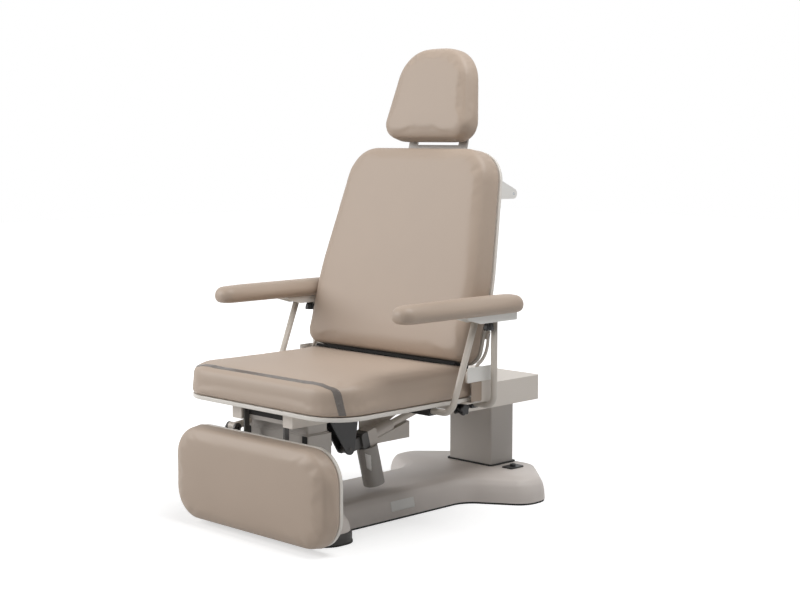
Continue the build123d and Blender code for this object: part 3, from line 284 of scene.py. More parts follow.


# Nitrile rubber pad and gasket: near black, matt, with a slight bloom. On the sheet under the
# seat board the same black is painted shade.
pad_and_shade_rubber = moulded("black_nitrile_rubber_and_shade", "262524", "1f1e1d", 0.78, 3.0, 0.0003)
finish(pad_and_shade_rubber, "base_pad", "column_collar")

# Black nylon: the connection plate with its raised round socket on the near rear wing, and the
# control unit's case. Satin, with a fine grain.
black_nylon = moulded("black_moulded_nylon", "1b1a1a", "151414", 0.46, 1.4, 0.00015)
finish(black_nylon, "inlet_panel", "control_box")


# The lift columns: drawn steel tubes, powder coated warm grey, that slide in each other.
# The front one has black edge trim on its front face.
def powder_coat(name, colour, shade, rough):
    """Baked powder coat: orange-peel bump about 3 mm across, and a slow change of tone."""
    made, tree = blank(name)
    place, _, tone = two_tones(tree, 3.0, 2.0, 0.25, shade, colour)
    peel = add(tree, "ShaderNodeTexNoise", {"Vector": place, "Scale": 330.0, "Detail": 1.0})
    bump = add(tree, "ShaderNodeBump", {"Height": peel.outputs[0], "Strength": 0.12,
                                        "Distance": 0.0003})
    look = add(tree, "ShaderNodeBsdfPrincipled", {
        "Base Color": tone, "Roughness": rough, "Normal": bump.outputs[0], "IOR": 1.5})
    add(tree, "ShaderNodeOutputMaterial", {"Surface": look.outputs[0]})
    return made


# Warm grey coat: a wide soft highlight along the columns' edges.
column_coat = powder_coat("warm_grey_powder_coat", "c4beb8", "bcb6b0", 0.42)
finish(column_coat, "rear_column_outer", "rear_column_middle", "rear_column_inner",
       "front_column_outer", "front_column_middle", "front_column_inner")
# Black coat: satin, and it keeps the chassis and the brackets in the background.
black_coat = powder_coat("black_powder_coat", "242222", "1e1c1c", 0.40)
finish(black_coat, "base_chassis")


def tapered(size, inset, steps):
    """Tapered outlines with round corners, one per inset. The size holds the half width, the
    height and the corner radius, each at the foot and at the top. A corner's radius falls by the
    inset, but stays over a quarter of its first value. Where the size goes on with a waist's
    height and radius, the sides run parallel up to it and then turn in through that arc."""
    half_low, half_high, low, high, r_low, r_high = size[:6]
    a, b = half_low - inset, half_high - inset
    y0, y1 = np.full_like(inset, low) + inset, np.full_like(inset, high) - inset
    r0 = np.minimum(np.maximum(r_low - inset, r_low / 4), 0.93 * a)
    r1 = np.minimum(np.maximum(r_high - inset, r_high / 4), 0.93 * b)
    places, radii = [(-a, y0), (a, y0), (b, y1), (-b, y1)], [r0, r0, r1, r1]
    if len(size) > 6:
        waist, waist_r = np.full_like(inset, size[6]), np.full_like(inset, size[7])
        places[2:2], radii[2:2] = [(a, waist)], [waist_r]
        places.append((-a, waist))
        radii.append(waist_r)
    corners = np.stack([np.stack(place, 1) for place in places], 1)
    return rounded(corners, np.stack(radii, 1), steps)[0]


def stacked(name, plane, ring, level):
    """A skin over outlines that lie on a plane: origin plus the outline's two numbers times the
    directions across and along, plus the row's level times the direction out."""
    origin, across, along, out = plane
    grid = origin + ring[..., :1] * across + ring[..., 1:] * along + level[:, None, None] * out
    return skin(name, grid)


def board_form(name, plane, size, base, thick, round_mm=2.5):
    """A moulded board: its outline carried up a quarter round at each face."""
    r = round_mm / 1000
    a = np.linspace(0, math.pi / 2, 5)
    inset = np.concatenate([r - r * np.sin(a), r - r * np.cos(a)])
    level = base + np.concatenate([r - r * np.cos(a), thick - r + r * np.sin(a)])
    made = stacked(name, plane, tapered(size, inset, steps=12), level)
    caps = np.zeros(len(made.data.polygons), bool)
    caps[-2:] = True
    made.data.polygons.foreach_set("use_smooth", ~caps)
    return made


def gathered(name, pieces):
    """One piece made of several: their meshes side by side, none joined to another."""
    whole = bmesh.new()
    for piece in pieces:
        whole.from_mesh(piece.data)
        bpy.data.objects.remove(piece)
    mesh = bpy.data.meshes.new(name)
    whole.to_mesh(mesh)
    whole.free()
    made = bpy.data.objects.new(name, mesh)
    bpy.context.scene.collection.objects.link(made)
    return made


X, Y, Z = np.eye(3)


def front_plane(x, y):
    """Origin and directions across, along and out of an upright plane that faces forwards."""
    return np.array([x, y, 0.0]), X, Z, -Y


# The column edge trim: black nitrile strips, pressed on both front corners of the front column.
# They start just over the base cover.
TRIM_X, TRIM_Y, TRIM_THICK = 0.1215, -0.870, 0.0016
TRIM_SIZE = (0.0105, 0.0105, 0.087, 0.296, 0.003, 0.003)
strips = [board_form("trim_strip", front_plane(sign * TRIM_X, TRIM_Y), TRIM_SIZE, base=0.0,
                     thick=TRIM_THICK, round_mm=0.7) for sign in (-1, 1)]
column_trim = gathered("column_edge_trim", strips)
column_trim.data.materials.append(pad_and_shade_rubber)
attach(column_trim, "base")
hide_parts("front_column_frame")


def bare_steel(name, colour, rough):
    """Ground or turned steel: a metal whose roughness varies in fine lines along X."""
    made, tree = blank(name)
    place = add(tree, "ShaderNodeTexCoord").outputs["Object"]
    lines = add(tree, "ShaderNodeMapping", {"Vector": place, "Scale": (1.0, 12.0, 12.0)})
    grind = add(tree, "ShaderNodeTexNoise", {"Vector": lines.outputs[0], "Scale": 60.0,
                                             "Detail": 3.0})
    vary = add(tree, "ShaderNodeMapRange", {0: grind.outputs[0], 3: rough - 0.08,
                                            4: rough + 0.10})
    look = add(tree, "ShaderNodeBsdfPrincipled", {
        "Base Color": linear(colour), "Metallic": 1.0, "Roughness": vary.outputs[0]})
    add(tree, "ShaderNodeOutputMaterial", {"Surface": look.outputs[0]})
    return made


# The lift drives in the columns. Zinc-plated steel is bright, with fine lines across what it
# mirrors, and grey glass-filled nylon is satin and slightly mottled.
turned_steel = bare_steel("zinc_plated_steel", "b4b6b8", 0.34)
finish(turned_steel, "lift_spindles", "frame_screws")
grey_nylon = moulded("grey_glass_filled_nylon", "8f8b86", "85817c", 0.50, 1.6, 0.0002)
finish(grey_nylon, "lift_motors")

# The seat frame: two box-section rails, a grey front beam and a folded steel housing over the
# rear column head, with black brackets. Stone powder coat is pale and warm, with a soft sheen.
beige_coat = powder_coat("stone_powder_coat", "e0d8cf", "d8d0c7", 0.40)
finish(beige_coat, "seat_rails", "frame_housing")
finish(black_coat, "hanger_bracket", "leg_drive_bracket", "arm_sockets")
finish(column_coat, "cross_beams")

# The beam shade sheet: a black rubber sheet on the front beam's face, under the seat board.
# Its black is painted shade: it stands for the dark band of shade between the seat and the front
# column.
SHADE_SHEET_Y, SHADE_SHEET_THICK = -0.898, 0.0015
SHADE_SHEET_SIZE = (0.089, 0.089, 0.337, 0.3665, 0.002, 0.002)
beam_shade_sheet = board_form("beam_shade_sheet", front_plane(0.0, SHADE_SHEET_Y), SHADE_SHEET_SIZE, base=0.0,
                         thick=SHADE_SHEET_THICK, round_mm=0.6)
beam_shade_sheet.data.materials.append(pad_and_shade_rubber)
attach(beam_shade_sheet, "carriage")

# The seat: a moulded board with a cream rim, and a foam pad upholstered in taupe vinyl drawn
# tight over it, with no seam in view.
PAD_SHARES = ((0.0, 0.20), (0.08, 0.04), (0.35, 0.0), (0.66, 0.04), (0.83, 0.22), (0.93, 0.62),
              (0.98, 1.40), (1.0, 3.0))
# The foam's last 10 mm over its board stay put, and the cloth runs for 20 frames.
HELD_DEPTH, CLOTH_FRAMES = 0.010, 20


def leaning_plane(y, z, lean):
    """Origin and directions of an upright pad that leans back by the angle."""
    a = math.radians(lean)
    return (np.array([0.0, y, z]), X, np.array([0, math.sin(a), math.cos(a)]),
            np.array([0, -math.cos(a), math.sin(a)]))


def pad_form(name, plane, size, base, thick, edge, shares):
    """A crowned pad: outlines stacked outwards from its board, each drawn in by the share for its
    height, so the sides pull in at the seam and the face rises to the middle."""
    high, draw = smooth_steps(shares, count=30)
    return stacked(name, plane, tapered(size, draw * edge, steps=12), base + thick * high)


def stuffed(piece, seat_point, out, voxel, cap):
    """Cloth over foam: the pad's mesh is made even, blown up a little by air pressure with its
    board side held, and each point's move is capped. The last step smooths and subdivides it."""
    scene = bpy.context.scene
    remesh = piece.modifiers.new("even", "REMESH")
    remesh.mode, remesh.voxel_size, remesh.use_smooth_shade = "VOXEL", voxel, True
    even = bpy.data.meshes.new_from_object(
        piece.evaluated_get(bpy.context.evaluated_depsgraph_get()))
    piece.modifiers.clear()
    piece.data = even
    count = len(even.vertices)
    first = np.empty(count * 3)
    even.vertices.foreach_get("co", first)
    first = first.reshape(-1, 3)
    depth = (first - seat_point) @ out
    held = piece.vertex_groups.new(name="board")
    held.add(np.flatnonzero(depth < HELD_DEPTH).tolist(), 1.0, "REPLACE")
    cloth = piece.modifiers.new("blow", "CLOTH")
    cloth.settings.quality = 5
    cloth.settings.mass = 0.4
    cloth.settings.tension_stiffness = cloth.settings.compression_stiffness = 25
    cloth.settings.bending_stiffness = 4
    cloth.settings.use_pressure = True
    cloth.settings.uniform_pressure_force = 4.0
    cloth.settings.vertex_group_mass = "board"
    cloth.settings.effector_weights.gravity = 0
    cloth.collision_settings.use_self_collision = False
    cloth.point_cache.frame_start, cloth.point_cache.frame_end = 1, CLOTH_FRAMES
    for f in range(1, CLOTH_FRAMES + 1):
        scene.frame_set(f)
    posed = piece.evaluated_get(bpy.context.evaluated_depsgraph_get())
    last = np.empty(count * 3)
    posed.data.vertices.foreach_get("co", last)
    move = last.reshape(-1, 3) - first
    far = np.linalg.norm(move, axis=1, keepdims=True)
    move *= np.minimum(1, cap / np.maximum(far, 1e-9))
    piece.modifiers.clear()
    piece.vertex_groups.clear()
    even.vertices.foreach_set("co", (first + move).ravel())
    scene.frame_set(1)
    even.update()
    relax = piece.modifiers.new("relax", "SMOOTH")
    relax.factor, relax.iterations = 0.5, 6
    fine = piece.modifiers.new("fine", "SUBSURF")
    fine.levels = fine.render_levels = 1
    bake_modifiers(piece)


def bake_modifiers(piece):
    """The piece's mesh as its modifiers leave it, smooth all over."""
    made = bpy.data.meshes.new_from_object(
        piece.evaluated_get(bpy.context.evaluated_depsgraph_get()))
    piece.modifiers.clear()
    piece.data = made
    made.polygons.foreach_set("use_smooth", np.full(len(made.polygons), True))


def upholstery(name, colour, shade, rough, sheen):
    """Coated fabric: embossed hide grain of 1.8 mm cells, broken by finer pores, a soft sheen,
    and a slow drift of tone where it is rubbed."""
    made, tree = blank(name)
    place, drift, tone = two_tones(tree, 2.5, 3.0, 0.3, shade, colour)
    cells = add(tree, "ShaderNodeTexVoronoi", {"Vector": place, "Scale": 1000 / 1.8},
                feature="F1")
    pores = add(tree, "ShaderNodeTexNoise", {"Vector": place, "Scale": 1000 / 0.7, "Detail": 2.0})
    grain = add(tree, "ShaderNodeMath", {0: cells.outputs["Distance"], 1: pores.outputs[0]},
                operation="ADD")
    bump = add(tree, "ShaderNodeBump", {"Height": grain.outputs[0], "Strength": 0.22,
                                        "Distance": 0.0003})
    rub = add(tree, "ShaderNodeMapRange", {0: drift, 3: rough - 0.05, 4: rough + 0.05})
    look = add(tree, "ShaderNodeBsdfPrincipled", {
        "Base Color": tone, "Roughness": rub.outputs[0], "Normal": bump.outputs[0],
        "IOR": 1.48, "Sheen Weight": sheen, "Sheen Roughness": 0.4})
    add(tree, "ShaderNodeOutputMaterial", {"Surface": look.outputs[0]})
    return made


# Taupe vinyl: soft wide highlights over a faint hide grain. Cream polystyrene: smooth, with a
# clean pale edge.
taupe_vinyl = upholstery("taupe_upholstery_vinyl", "b5a393", "af9d8d", 0.49, 0.08)
cream_board = moulded("cream_moulded_polystyrene", "e6e1da", "dfdad2", 0.38, 1.6, 0.0001)


def cushion(name, plane, size, base, thick, edge, shares=PAD_SHARES, voxel=0.006, cap=0.004):
    """A padded piece in taupe vinyl: its crowned form, then the cloth blown up over the foam."""
    made = pad_form(name, plane, size, base, thick, edge, shares)
    stuffed(made, plane[0] + base * plane[3], plane[3], voxel, cap)
    made.data.materials.append(taupe_vinyl)
    return made


def drawn_in(size, inset):
    """The same outline, smaller all round by the inset."""
    half_low, half_high, low, high, r_low, r_high = size
    return (half_low - inset, half_high - inset, low + inset, high - inset, r_low - inset,
            r_high - inset)


LEVEL_PLANE = (np.zeros(3), X, Y, Z)
SEAT = (0.343, 0.343, -0.960, -0.394, 0.112, 0.040)
seat_cushion = cushion("seat_cushion_vinyl", LEVEL_PLANE, SEAT, base=0.3793, thick=0.0857,
                       edge=0.024)
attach(seat_cushion, "carriage")
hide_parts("seat_cushion")

seat_board = board_form("seat_board_moulding", LEVEL_PLANE, drawn_in(SEAT, 0.002), base=0.367,
                        thick=0.012)
seat_board.data.materials.append(cream_board)
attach(seat_board, "carriage")
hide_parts("seat_plate")

# The paper strap: clear PVC, 17 mm wide, drawn tight over the front of the seat and fixed under
# its board. It holds the couch paper, and its side runs slant back towards the board.
STRAP_Y, STRAP_HALF, STRAP_ROUND, STRAP_BACK = -0.929, 0.0085, 0.020, 0.016
STRAP_X, STRAP_FOOT, STRAP_TOP, STRAP_SHARP = 0.346, 0.381, 0.468, 0.0001
STRAP_LINES, STRAP_STEPS = 7, 400
# Clear PVC with a grey cast: the vinyl shows through it, under a sharp highlight.
clear_pvc, tree = blank("clear_grey_pvc")
place = add(tree, "ShaderNodeTexCoord").outputs["Object"]
wave = add(tree, "ShaderNodeTexNoise", {"Vector": place, "Scale": 60.0, "Detail": 1.0})
bump = add(tree, "ShaderNodeBump", {"Height": wave.outputs[0], "Strength": 0.2,
                                    "Distance": 0.0004})
look = add(tree, "ShaderNodeBsdfPrincipled", {
    "Base Color": linear("6f6c6a"), "Roughness": 0.14, "Normal": bump.outputs[0], "IOR": 1.53,
    "Alpha": 0.62})
add(tree, "ShaderNodeOutputMaterial", {"Surface": look.outputs[0]})


def laid_on(piece, ground, lift, thick):
    """The piece is drawn onto the nearest surface of what carries it, and gets its thickness."""
    wrap = piece.modifiers.new("wrap", "SHRINKWRAP")
    wrap.target, wrap.offset = ground, lift
    wrap.wrap_method, wrap.wrap_mode = "NEAREST_SURFACEPOINT", "OUTSIDE_SURFACE"
    wall = piece.modifiers.new("wall", "SOLIDIFY")
    wall.thickness, wall.offset = thick, 1.0
    bake_modifiers(piece)


# A band round three sides of a rounded rectangle in X and Z: points at even steps along it, and
# each line of the band is as wide as the seat's round corner is at its Y.
strap_ring = rounded(np.array([[[STRAP_X, STRAP_FOOT], [STRAP_X, STRAP_TOP],
                                [-STRAP_X, STRAP_TOP], [-STRAP_X, STRAP_FOOT]]]),
                     np.array([[STRAP_SHARP, STRAP_ROUND, STRAP_ROUND, STRAP_SHARP]]),
                     steps=12)[0][0]
run = np.concatenate([[0.0], np.cumsum(np.linalg.norm(np.diff(strap_ring, axis=0), axis=1))])
even = np.linspace(0, run[-1], STRAP_STEPS)
strap_x, strap_z = (np.interp(even, run, strap_ring[:, i]) for i in (0, 1))
slant = STRAP_BACK * (STRAP_TOP - strap_z) / (STRAP_TOP - STRAP_FOOT)
strap_y = STRAP_Y + np.linspace(-STRAP_HALF, STRAP_HALF, STRAP_LINES)[:, None] + slant
seat_half, seat_front, seat_round = SEAT[0], SEAT[2], SEAT[4]
past = np.maximum(seat_front + seat_round - strap_y, 0)
reach = seat_half - seat_round + np.sqrt(seat_round ** 2 - past ** 2) + 0.002
band = np.stack([strap_x * reach / STRAP_X, strap_y,
                 np.broadcast_to(strap_z, (STRAP_LINES, STRAP_STEPS))], 2)
paper_strap = skin("paper_strap_band", band, wrap=False, low_cap=False, high_cap=False)
laid_on(paper_strap, seat_cushion, lift=0.0006, thick=0.0010)
paper_strap.data.materials.append(clear_pvc)
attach(paper_strap, "carriage")
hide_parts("paper_strap")

# The back hinge: a bent flat-bar arm each side turns on a blacked pin in an upright folded
# plate beside the seat, and is screwed to the back's board.
# White coat: the palest metal on the chair, satin. Black oxide: a dark steel with fine lines.
white_coat = powder_coat("white_powder_coat", "f6f4f0", "efede8", 0.36)
blacked_steel = bare_steel("black_oxide_steel", "4a4846", 0.38)
finish(beige_coat, "hinge_plates")
finish(blacked_steel, "pivot_pins")
HINGE_Y, HINGE_Z, HINGE_MID, BAR_THICK, BAR_WIDE = -0.418, 0.392, 0.3485, 0.0060, 0.0090
# The bar's line, as its share of the run, Y and Z.
BAR_LINE = ((0.0, HINGE_Y, HINGE_Z), (0.19, -0.4225, 0.425), (0.34, -0.4195, 0.452),
            (0.45, -0.408, 0.471), (0.57, -0.390, 0.483), (0.68, -0.3755, 0.498),
            (0.79, -0.3665, 0.517), (0.90, -0.3625, 0.538), (1.0, -0.3610, 0.558))
BAR_STEPS, EYE_STEPS = 60, 40


def bent_bar(name, sign):
    """A flat bar carried along an eased line in Y and Z: a rectangle with round corners stands
    across the line at each point, its long side in the plane of the bend."""
    table = np.array(BAR_LINE)
    line = np.stack([smooth_steps(table[:, (0, i)], BAR_STEPS)[1] for i in (1, 2)], 1)
    run = np.gradient(line, axis=0)
    run /= np.linalg.norm(run, axis=1, keepdims=True)
    w, t = BAR_WIDE / 2, BAR_THICK / 2
    ring = rounded(np.array([[[-w, -t], [w, -t], [w, t], [-w, t]]]), np.full((1, 4), 0.0012),
                   steps=4)[0][0]
    x = np.broadcast_to(sign * HINGE_MID - ring[None, :, 1], (BAR_STEPS, len(ring)))
    y = line[:, :1] - ring[None, :, 0] * run[:, 1:]
    z = line[:, 1:] + ring[None, :, 0] * run[:, :1]
    return skin(name, np.stack([x, y, z], 2))


def bar_eye(name, sign, radius):
    """The bar's eye: a round boss about the hinge pin, its rim rounded by a quarter circle."""
    a = np.linspace(0, math.pi / 2, 4)
    r, half = 0.0010, BAR_THICK / 2
    rows = np.concatenate([
        np.stack([-half + r - r * np.sin(a[::-1]), radius - r + r * np.cos(a[::-1])], 1),
        np.stack([half - r + r * np.sin(a), radius - r + r * np.cos(a)], 1)])
    u = np.linspace(0, 2 * math.pi, EYE_STEPS, endpoint=False)
    x = np.broadcast_to(sign * HINGE_MID + rows[:, :1], (len(rows), EYE_STEPS))
    return skin(name, np.stack([x, HINGE_Y + rows[:, 1:] * np.cos(u),
                                HINGE_Z + rows[:, 1:] * np.sin(u)], 2))


# The back: the same foam pad and cream board, tapered to the top over a waist, with a black
# lining strip stapled under its lower edge.
BACK_PLANE = leaning_plane(-0.466, 0.500, 15.3)
BACK = (0.341, 0.284, -0.016, 0.623, 0.045, 0.112, 0.222, 0.90)
back_cushion = cushion("back_cushion_vinyl", BACK_PLANE, BACK, base=-0.0757, thick=0.0757,
                       edge=0.028)
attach(back_cushion, "backrest")
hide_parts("back_cushion")

back_board = board_form("back_board_moulding", BACK_PLANE, BACK, base=-0.086, thick=0.010)
back_board.data.materials.append(cream_board)
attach(back_board, "backrest")
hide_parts("back_plate")

TAB_X, TAB_SIZE = 0.3315, (0.020, 0.020, 0.067, 0.093, 0.004, 0.004)
arm_parts = []
for sign in (-1, 1):
    tab_plane = (BACK_PLANE[0] + sign * TAB_X * BACK_PLANE[1], *BACK_PLANE[1:])
    arm_parts += [bent_bar("bar", sign), bar_eye("eye", sign, radius=0.013),
                  board_form("tab", tab_plane, TAB_SIZE, base=-0.092, thick=0.006, round_mm=1.0)]
back_arms = gathered("back_hinge_arms", arm_parts)
back_arms.data.materials.append(beige_coat)
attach(back_arms, "backrest")
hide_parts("back_arms")

# Black lining felt: the darkest thing on the chair, with no highlight at all. The fine grain
# of the vinyl's bump stands for its nap.
lining_felt = upholstery("black_lining_felt", "131212", "0f0e0e", 0.90, 0.0)
finish(lining_felt, "back_strip")
finish(black_coat, "back_lever")

# The drives: a coated gear case with a motor barrel under it, and a coated tube and rod.
# Slate coat on the motors: a shade darker than the columns, and duller.
finish(beige_coat, "leg_actuator_body", "leg_actuator_rod", "back_actuator_rod")
motor_coat = powder_coat("slate_powder_coat", "a9a49f", "a19c97", 0.44)
finish(motor_coat, "back_actuator_motor", "leg_actuator_motor")


def two_tone_coat(name, colour, dark, start, run, length):
    """Powder coat in two colours: the dark one up to the given length from a point, measured
    along a direction."""
    made = powder_coat(name, colour, colour, 0.42)
    tree = made.node_tree
    place = add(tree, "ShaderNodeTexCoord").outputs["Object"]
    from_start = add(tree, "ShaderNodeVectorMath", {0: place, 1: start}, operation="SUBTRACT")
    along = add(tree, "ShaderNodeVectorMath", {0: from_start.outputs[0], 1: run},
                operation="DOT_PRODUCT")
    near = add(tree, "ShaderNodeMath", {0: along.outputs["Value"], 1: length},
               operation="LESS_THAN")
    look = next(n for n in tree.nodes if n.bl_idname == "ShaderNodeBsdfPrincipled")
    tone = look.inputs["Base Color"].links[0].from_socket
    mixed = add(tree, "ShaderNodeMix", {0: near.outputs[0], 6: tone, 7: linear(dark)},
                data_type="RGBA")
    tree.links.new(mixed.outputs[2], look.inputs["Base Color"])
    return made


# The back drive's gear end is slate, and its long case is stone, from 78 mm behind the hanger
# pin, along the drive's own line.
HANGER_PIN, DRIVE_LINE, GEAR_END = (0.064, -0.662, 0.224), (0.0, 0.9688, 0.2478), 0.078
drive_coat = two_tone_coat("gear_case_two_tone_coat", "d2cac2", "4c4a48", HANGER_PIN, DRIVE_LINE,
                           GEAR_END)
finish(drive_coat, "back_actuator_body")

# The cable web: a folded stone-coloured plate under the seat, beside the back drive, that the
# drive's cable is tied to.
WEB_CORNERS = ((-0.576, 0.3545), (-0.576, 0.252), (-0.500, 0.252), (-0.400, 0.296),
               (-0.400, 0.3545))
WEB_X, WEB_THICK, WEB_ROUND, WEB_EDGE = 0.029, 0.002, 0.005, 0.0006


def flat_plate(name, x, outline, radius, thick, r):
    """A plate standing at one X: its outline in Y and Z with round corners, drawn in at both
    faces along its own normals by a small chamfer."""
    corners = np.array(outline)[None]
    ring, ring_out = rounded(corners, np.full(corners.shape[:2], radius), steps=6)
    yz = ring - ring_out * np.array([r, 0, 0, r])[:, None, None]
    depth = x + np.array([0, r, thick - r, thick])[:, None, None]
    grid = np.concatenate([np.broadcast_to(depth, (*yz.shape[:2], 1)), yz], 2)
    return skin(name, grid, soft=False)


drive_web = flat_plate("drive_cable_web", WEB_X, WEB_CORNERS, WEB_ROUND, WEB_THICK, WEB_EDGE)
drive_web.data.materials.append(beige_coat)
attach(drive_web, "carriage")

# The leg section: a board and pad with wide corners on two dark arms. Dark slate coat keeps
# them back in the shade under the seat.
LEG_PLANE = front_plane(0.0, -0.989)
LEG = (0.331, 0.331, 0.012, 0.293, 0.096, 0.096)
leg_cushion = cushion("leg_cushion_vinyl", LEG_PLANE, LEG, base=-0.0597, thick=0.0597,
                      edge=0.030)
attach(leg_cushion, "leg_section")
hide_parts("leg_cushion")

leg_board = board_form("leg_board_moulding", LEG_PLANE, drawn_in(LEG, 0.003), base=-0.072,
                       thick=0.012)
leg_board.data.materials.append(cream_board)
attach(leg_board, "leg_section")
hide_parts("leg_plate")
frame_coat = powder_coat("dark_slate_powder_coat", "5a5856", "52504e", 0.44)
finish(frame_coat, "leg_frame")

# The headrest: a smaller pad on two flat posts that slide in guides behind the back, where a
# black knob clamps them.
HEAD_PLANE = leaning_plane(-0.285, 1.130, 12.6)
HEAD = (0.188, 0.133, -0.010, 0.276, 0.054, 0.118)
headrest_cushion = cushion("headrest_cushion_vinyl", HEAD_PLANE, HEAD, base=-0.0637,
                           thick=0.0637, edge=0.026, voxel=0.005, cap=0.003)
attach(headrest_cushion, "headrest")
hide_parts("headrest_cushion")
finish(cream_board, "headrest_plate")
# The posts take the darker warm grey coat as painted shade: they stand in the shade between the
# headrest and the back.
finish(column_coat, "headrest_posts")
finish(black_coat, "post_guides")
finish(black_nylon, "headrest_knob")

# The paper roll holder: a white cheek on each side behind the top of the back, and a plated
# rod between them.
finish(white_coat, "roll_brackets")
finish(turned_steel, "roll_rod")

# The armrests: bent steel tube legs under a folded channel, a padded top that slides on it, and
# black knobs that clamp the pad and the socket.
ARM_SHARES = ((0.0, 0.55), (0.16, 0.16), (0.42, 0.0), (0.66, 0.12), (0.84, 0.45), (0.95, 0.90),
              (1.0, 1.55))
ARM = (0.040, 0.046, -0.771, -0.270, 0.0372, 0.0428)
ARM_X, TUBE_R, TUBE_BEND = 0.382, 0.0095, 0.030
# Each tube starts in the socket, under the seat, and ends under the channel: Y at both ends.
TUBE_ROOT_X, TUBE_ROOT_Z, TUBE_TOP_Z = 0.235, 0.352, 0.6145
TUBE_RUNS = ((-0.373, -0.373), (-0.553, -0.4517))
PAD_KNOB_Y, PAD_KNOB_Z = -0.398, 0.6003
SOCKET_KNOB_X, SOCKET_KNOB_Y, SOCKET_KNOB_Z = 0.3103, -0.444, 0.345
# Pale stone coat: a shade darker than the frame's, with a thin highlight down each tube.
tube_coat = powder_coat("pale_stone_powder_coat", "cdc5bb", "c5bdb3", 0.38)


def bent_tube(name, start, corner, end, bend, radius):
    """A tube of two straight runs and one bend. In the bend the centre line turns evenly about
    the bend's centre, and the tube's circle turns with it in the plane of the bend."""
    a, b = corner - start, end - corner
    a, b = a / np.linalg.norm(a), b / np.linalg.norm(b)
    swing = math.acos(float(a @ b))
    inward = b - a * (a @ b)
    inward /= np.linalg.norm(inward)
    first = corner - a * bend * math.tan(swing / 2)
    t = np.linspace(0, swing, 14)[:, None]
    centre = first + inward * bend
    out = -inward * np.cos(t) + a * np.sin(t)
    line = np.concatenate([start[None], centre + out * bend, end[None]])
    out = np.concatenate([out[:1], out, out[-1:]])
    level = np.cross(inward, a)
    u = np.linspace(0, 2 * math.pi, 36, endpoint=False)[None, :, None]
    grid = line[:, None] + radius * (np.cos(u) * out[:, None] + np.sin(u) * level)
    return skin(name, grid)


def lobed_knob(name, foot, axis, table, lobes, depth):
    """A turned profile of height, radius and lobe share about the axis, its radius raised and
    lowered round the rim by a cosine with one wave for each lobe."""
    axis = np.array(axis, float)
    e1 = np.cross(axis, (0.3, 0.9, 0.1))
    e1 /= np.linalg.norm(e1)
    e2 = np.cross(axis, e1)
    rows = np.array(table)
    u = np.linspace(0, 2 * math.pi, 72, endpoint=False)
    radius = rows[:, 1:2] * (1 + depth * rows[:, 2:3] * np.cos(lobes * u)[None])
    ring = np.cos(u)[:, None] * e1 + np.sin(u)[:, None] * e2
    return skin(name, foot + rows[:, 0, None, None] * axis + radius[..., None] * ring[None])


def knob_table(stud_r, stud_in, neck_r, neck_h, rim_r, height):
    """Stud, neck, flared body and rounded rim of a clamp knob, as height, radius and lobe
    share."""
    return ((-stud_in, stud_r, 0), (-0.0002, stud_r, 0), (0.0, neck_r, 0),
            (neck_h - 0.0005, neck_r, 0), (neck_h + 0.001, neck_r * 1.08, 0.3),
            (0.45 * height, 0.86 * rim_r, 1.0), (0.78 * height, 0.98 * rim_r, 1.0),
            (height - 0.0028, rim_r, 1.0), (height - 0.0010, 0.97 * rim_r, 1.0),
            (height - 0.0002, 0.90 * rim_r, 0.9), (height, 0.78 * rim_r, 0.6))


for hand, sign in (("left", 1), ("right", -1)):
    pad_plane = (np.array([sign * ARM_X, 0, 0]), *LEVEL_PLANE[1:])
    arm_pad = cushion(hand + "_arm_pad_vinyl", pad_plane, ARM, base=0.6218, thick=0.0497,
                      edge=0.020, shares=ARM_SHARES, voxel=0.004, cap=0.002)
    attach(arm_pad, hand + "_arm_pad")
    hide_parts(hand + "_arm_pad")
    legs = [bent_tube("leg", np.array([sign * TUBE_ROOT_X, foot_y, TUBE_ROOT_Z]),
                      np.array([sign * ARM_X, foot_y, TUBE_ROOT_Z]),
                      np.array([sign * ARM_X, top_y, TUBE_TOP_Z]), TUBE_BEND, TUBE_R)
            for foot_y, top_y in TUBE_RUNS]
    arm_legs = gathered(hand + "_arm_legs", legs)
    arm_legs.data.materials.append(tube_coat)
    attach(arm_legs, hand + "_armrest")
    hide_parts(hand + "_arm_tubes")
    finish(white_coat, hand + "_arm_channel")
    pad_knob = lobed_knob(hand + "_pad_clamp", np.array([sign * ARM_X, PAD_KNOB_Y, PAD_KNOB_Z]),
                          -Z, knob_table(stud_r=0.005, stud_in=0.033, neck_r=0.0098,
                                         neck_h=0.005, rim_r=0.0153, height=0.0255),
                          lobes=8, depth=0.045)
    pad_knob.data.materials.append(black_nylon)
    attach(pad_knob, hand + "_pad_knob")
    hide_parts(hand + "_pad_knob")
    socket_at = np.array([sign * SOCKET_KNOB_X, SOCKET_KNOB_Y, SOCKET_KNOB_Z])
    socket_knob = lobed_knob(hand + "_socket_clamp", socket_at, sign * X,
                             knob_table(stud_r=0.005, stud_in=0.0063, neck_r=0.0112,
                                        neck_h=0.003, rim_r=0.0165, height=0.027),
                             lobes=5, depth=0.16)
    socket_knob.data.materials.append(black_nylon)
    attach(socket_knob, hand + "_clamp_knob")
    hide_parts(hand + "_clamp_knob")

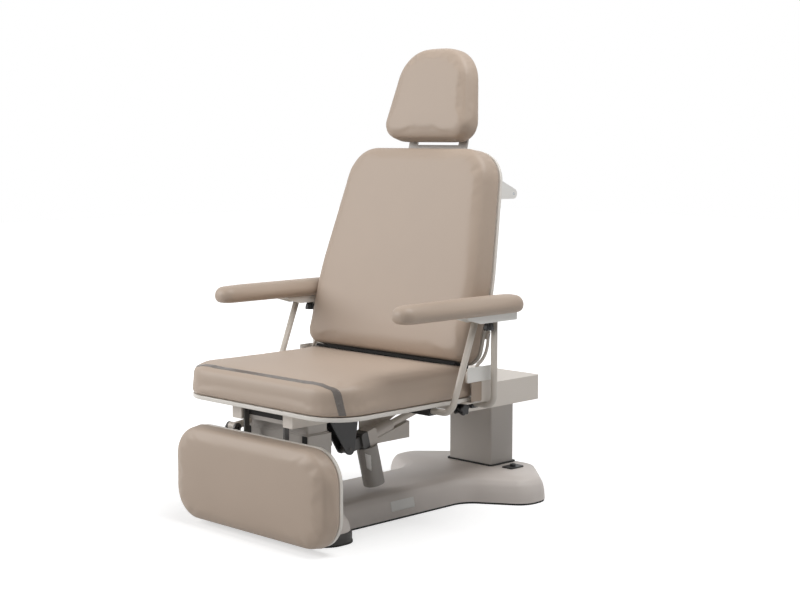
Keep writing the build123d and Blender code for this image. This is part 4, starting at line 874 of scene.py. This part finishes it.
# Bare plates of pale polyester film: one on the side of the spine, one on the back drive's
# motor. They carry no lettering. The film is smooth and a touch brighter than what it is on.
pale_film = moulded("pale_polyester_film", "eceae6", "e5e3df", 0.34, 1.2, 0.00005)


def film_plate(name, x, y0, y1, z0, z1, ground):
    """A flat grid in Y and Z at one X, laid on what is under it."""
    y, z = np.meshgrid(np.linspace(y1, y0, 24), np.linspace(z0, z1, 12))
    grid = np.stack([np.full_like(y, x), y, z], 2)
    made = skin(name, grid, wrap=False, low_cap=False, high_cap=False)
    laid_on(made, ground, lift=0.0003, thick=0.0003)
    made.data.materials.append(pale_film)
    return made


spine_plate = film_plate("spine_rating_plate", 0.145, -0.545, -0.447, 0.027, 0.062, base_shell)
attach(spine_plate, "base")
motor_plate = film_plate("motor_rating_plate", 0.100, -0.630, -0.590, 0.146, 0.196,
                         nodes["back_actuator_motor"])
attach(motor_plate, "carriage")

# The hinge covers: a bare white plate on the head of each upright hinge plate, over a taupe
# moulded cap that hides the hinge's pin. Taupe ABS: close to the vinyl's tone, but harder.
COVER_X, HEAD_PLATE_Y, PIVOT_CAP_Y = 0.3585, -0.4005, -0.4235
HEAD_PLATE_SIZE = (0.0610, 0.0610, 0.4260, 0.4690, 0.003, 0.003)
PIVOT_CAP_SIZE = (0.0220, 0.0220, 0.3690, 0.4255, 0.004, 0.004)
taupe_cap = moulded("taupe_moulded_abs", "a59485", "9f8e7f", 0.48, 1.6, 0.0001)
for hand, sign in (("left", 1), ("right", -1)):
    side_axes = (sign * Y, Z, sign * X)
    hinge_cover = board_form(hand + "_hinge_head_plate",
                             (np.array([sign * COVER_X, HEAD_PLATE_Y, 0]), *side_axes),
                             HEAD_PLATE_SIZE, base=0.0, thick=0.0016, round_mm=0.5)
    hinge_cover.data.materials.append(white_coat)
    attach(hinge_cover, "carriage")
    pivot_cap = board_form(hand + "_hinge_pivot_cap",
                           (np.array([sign * COVER_X, PIVOT_CAP_Y, 0]), *side_axes),
                           PIVOT_CAP_SIZE, base=0.0, thick=0.0022, round_mm=0.9)
    pivot_cap.data.materials.append(taupe_cap)
    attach(pivot_cap, "carriage")
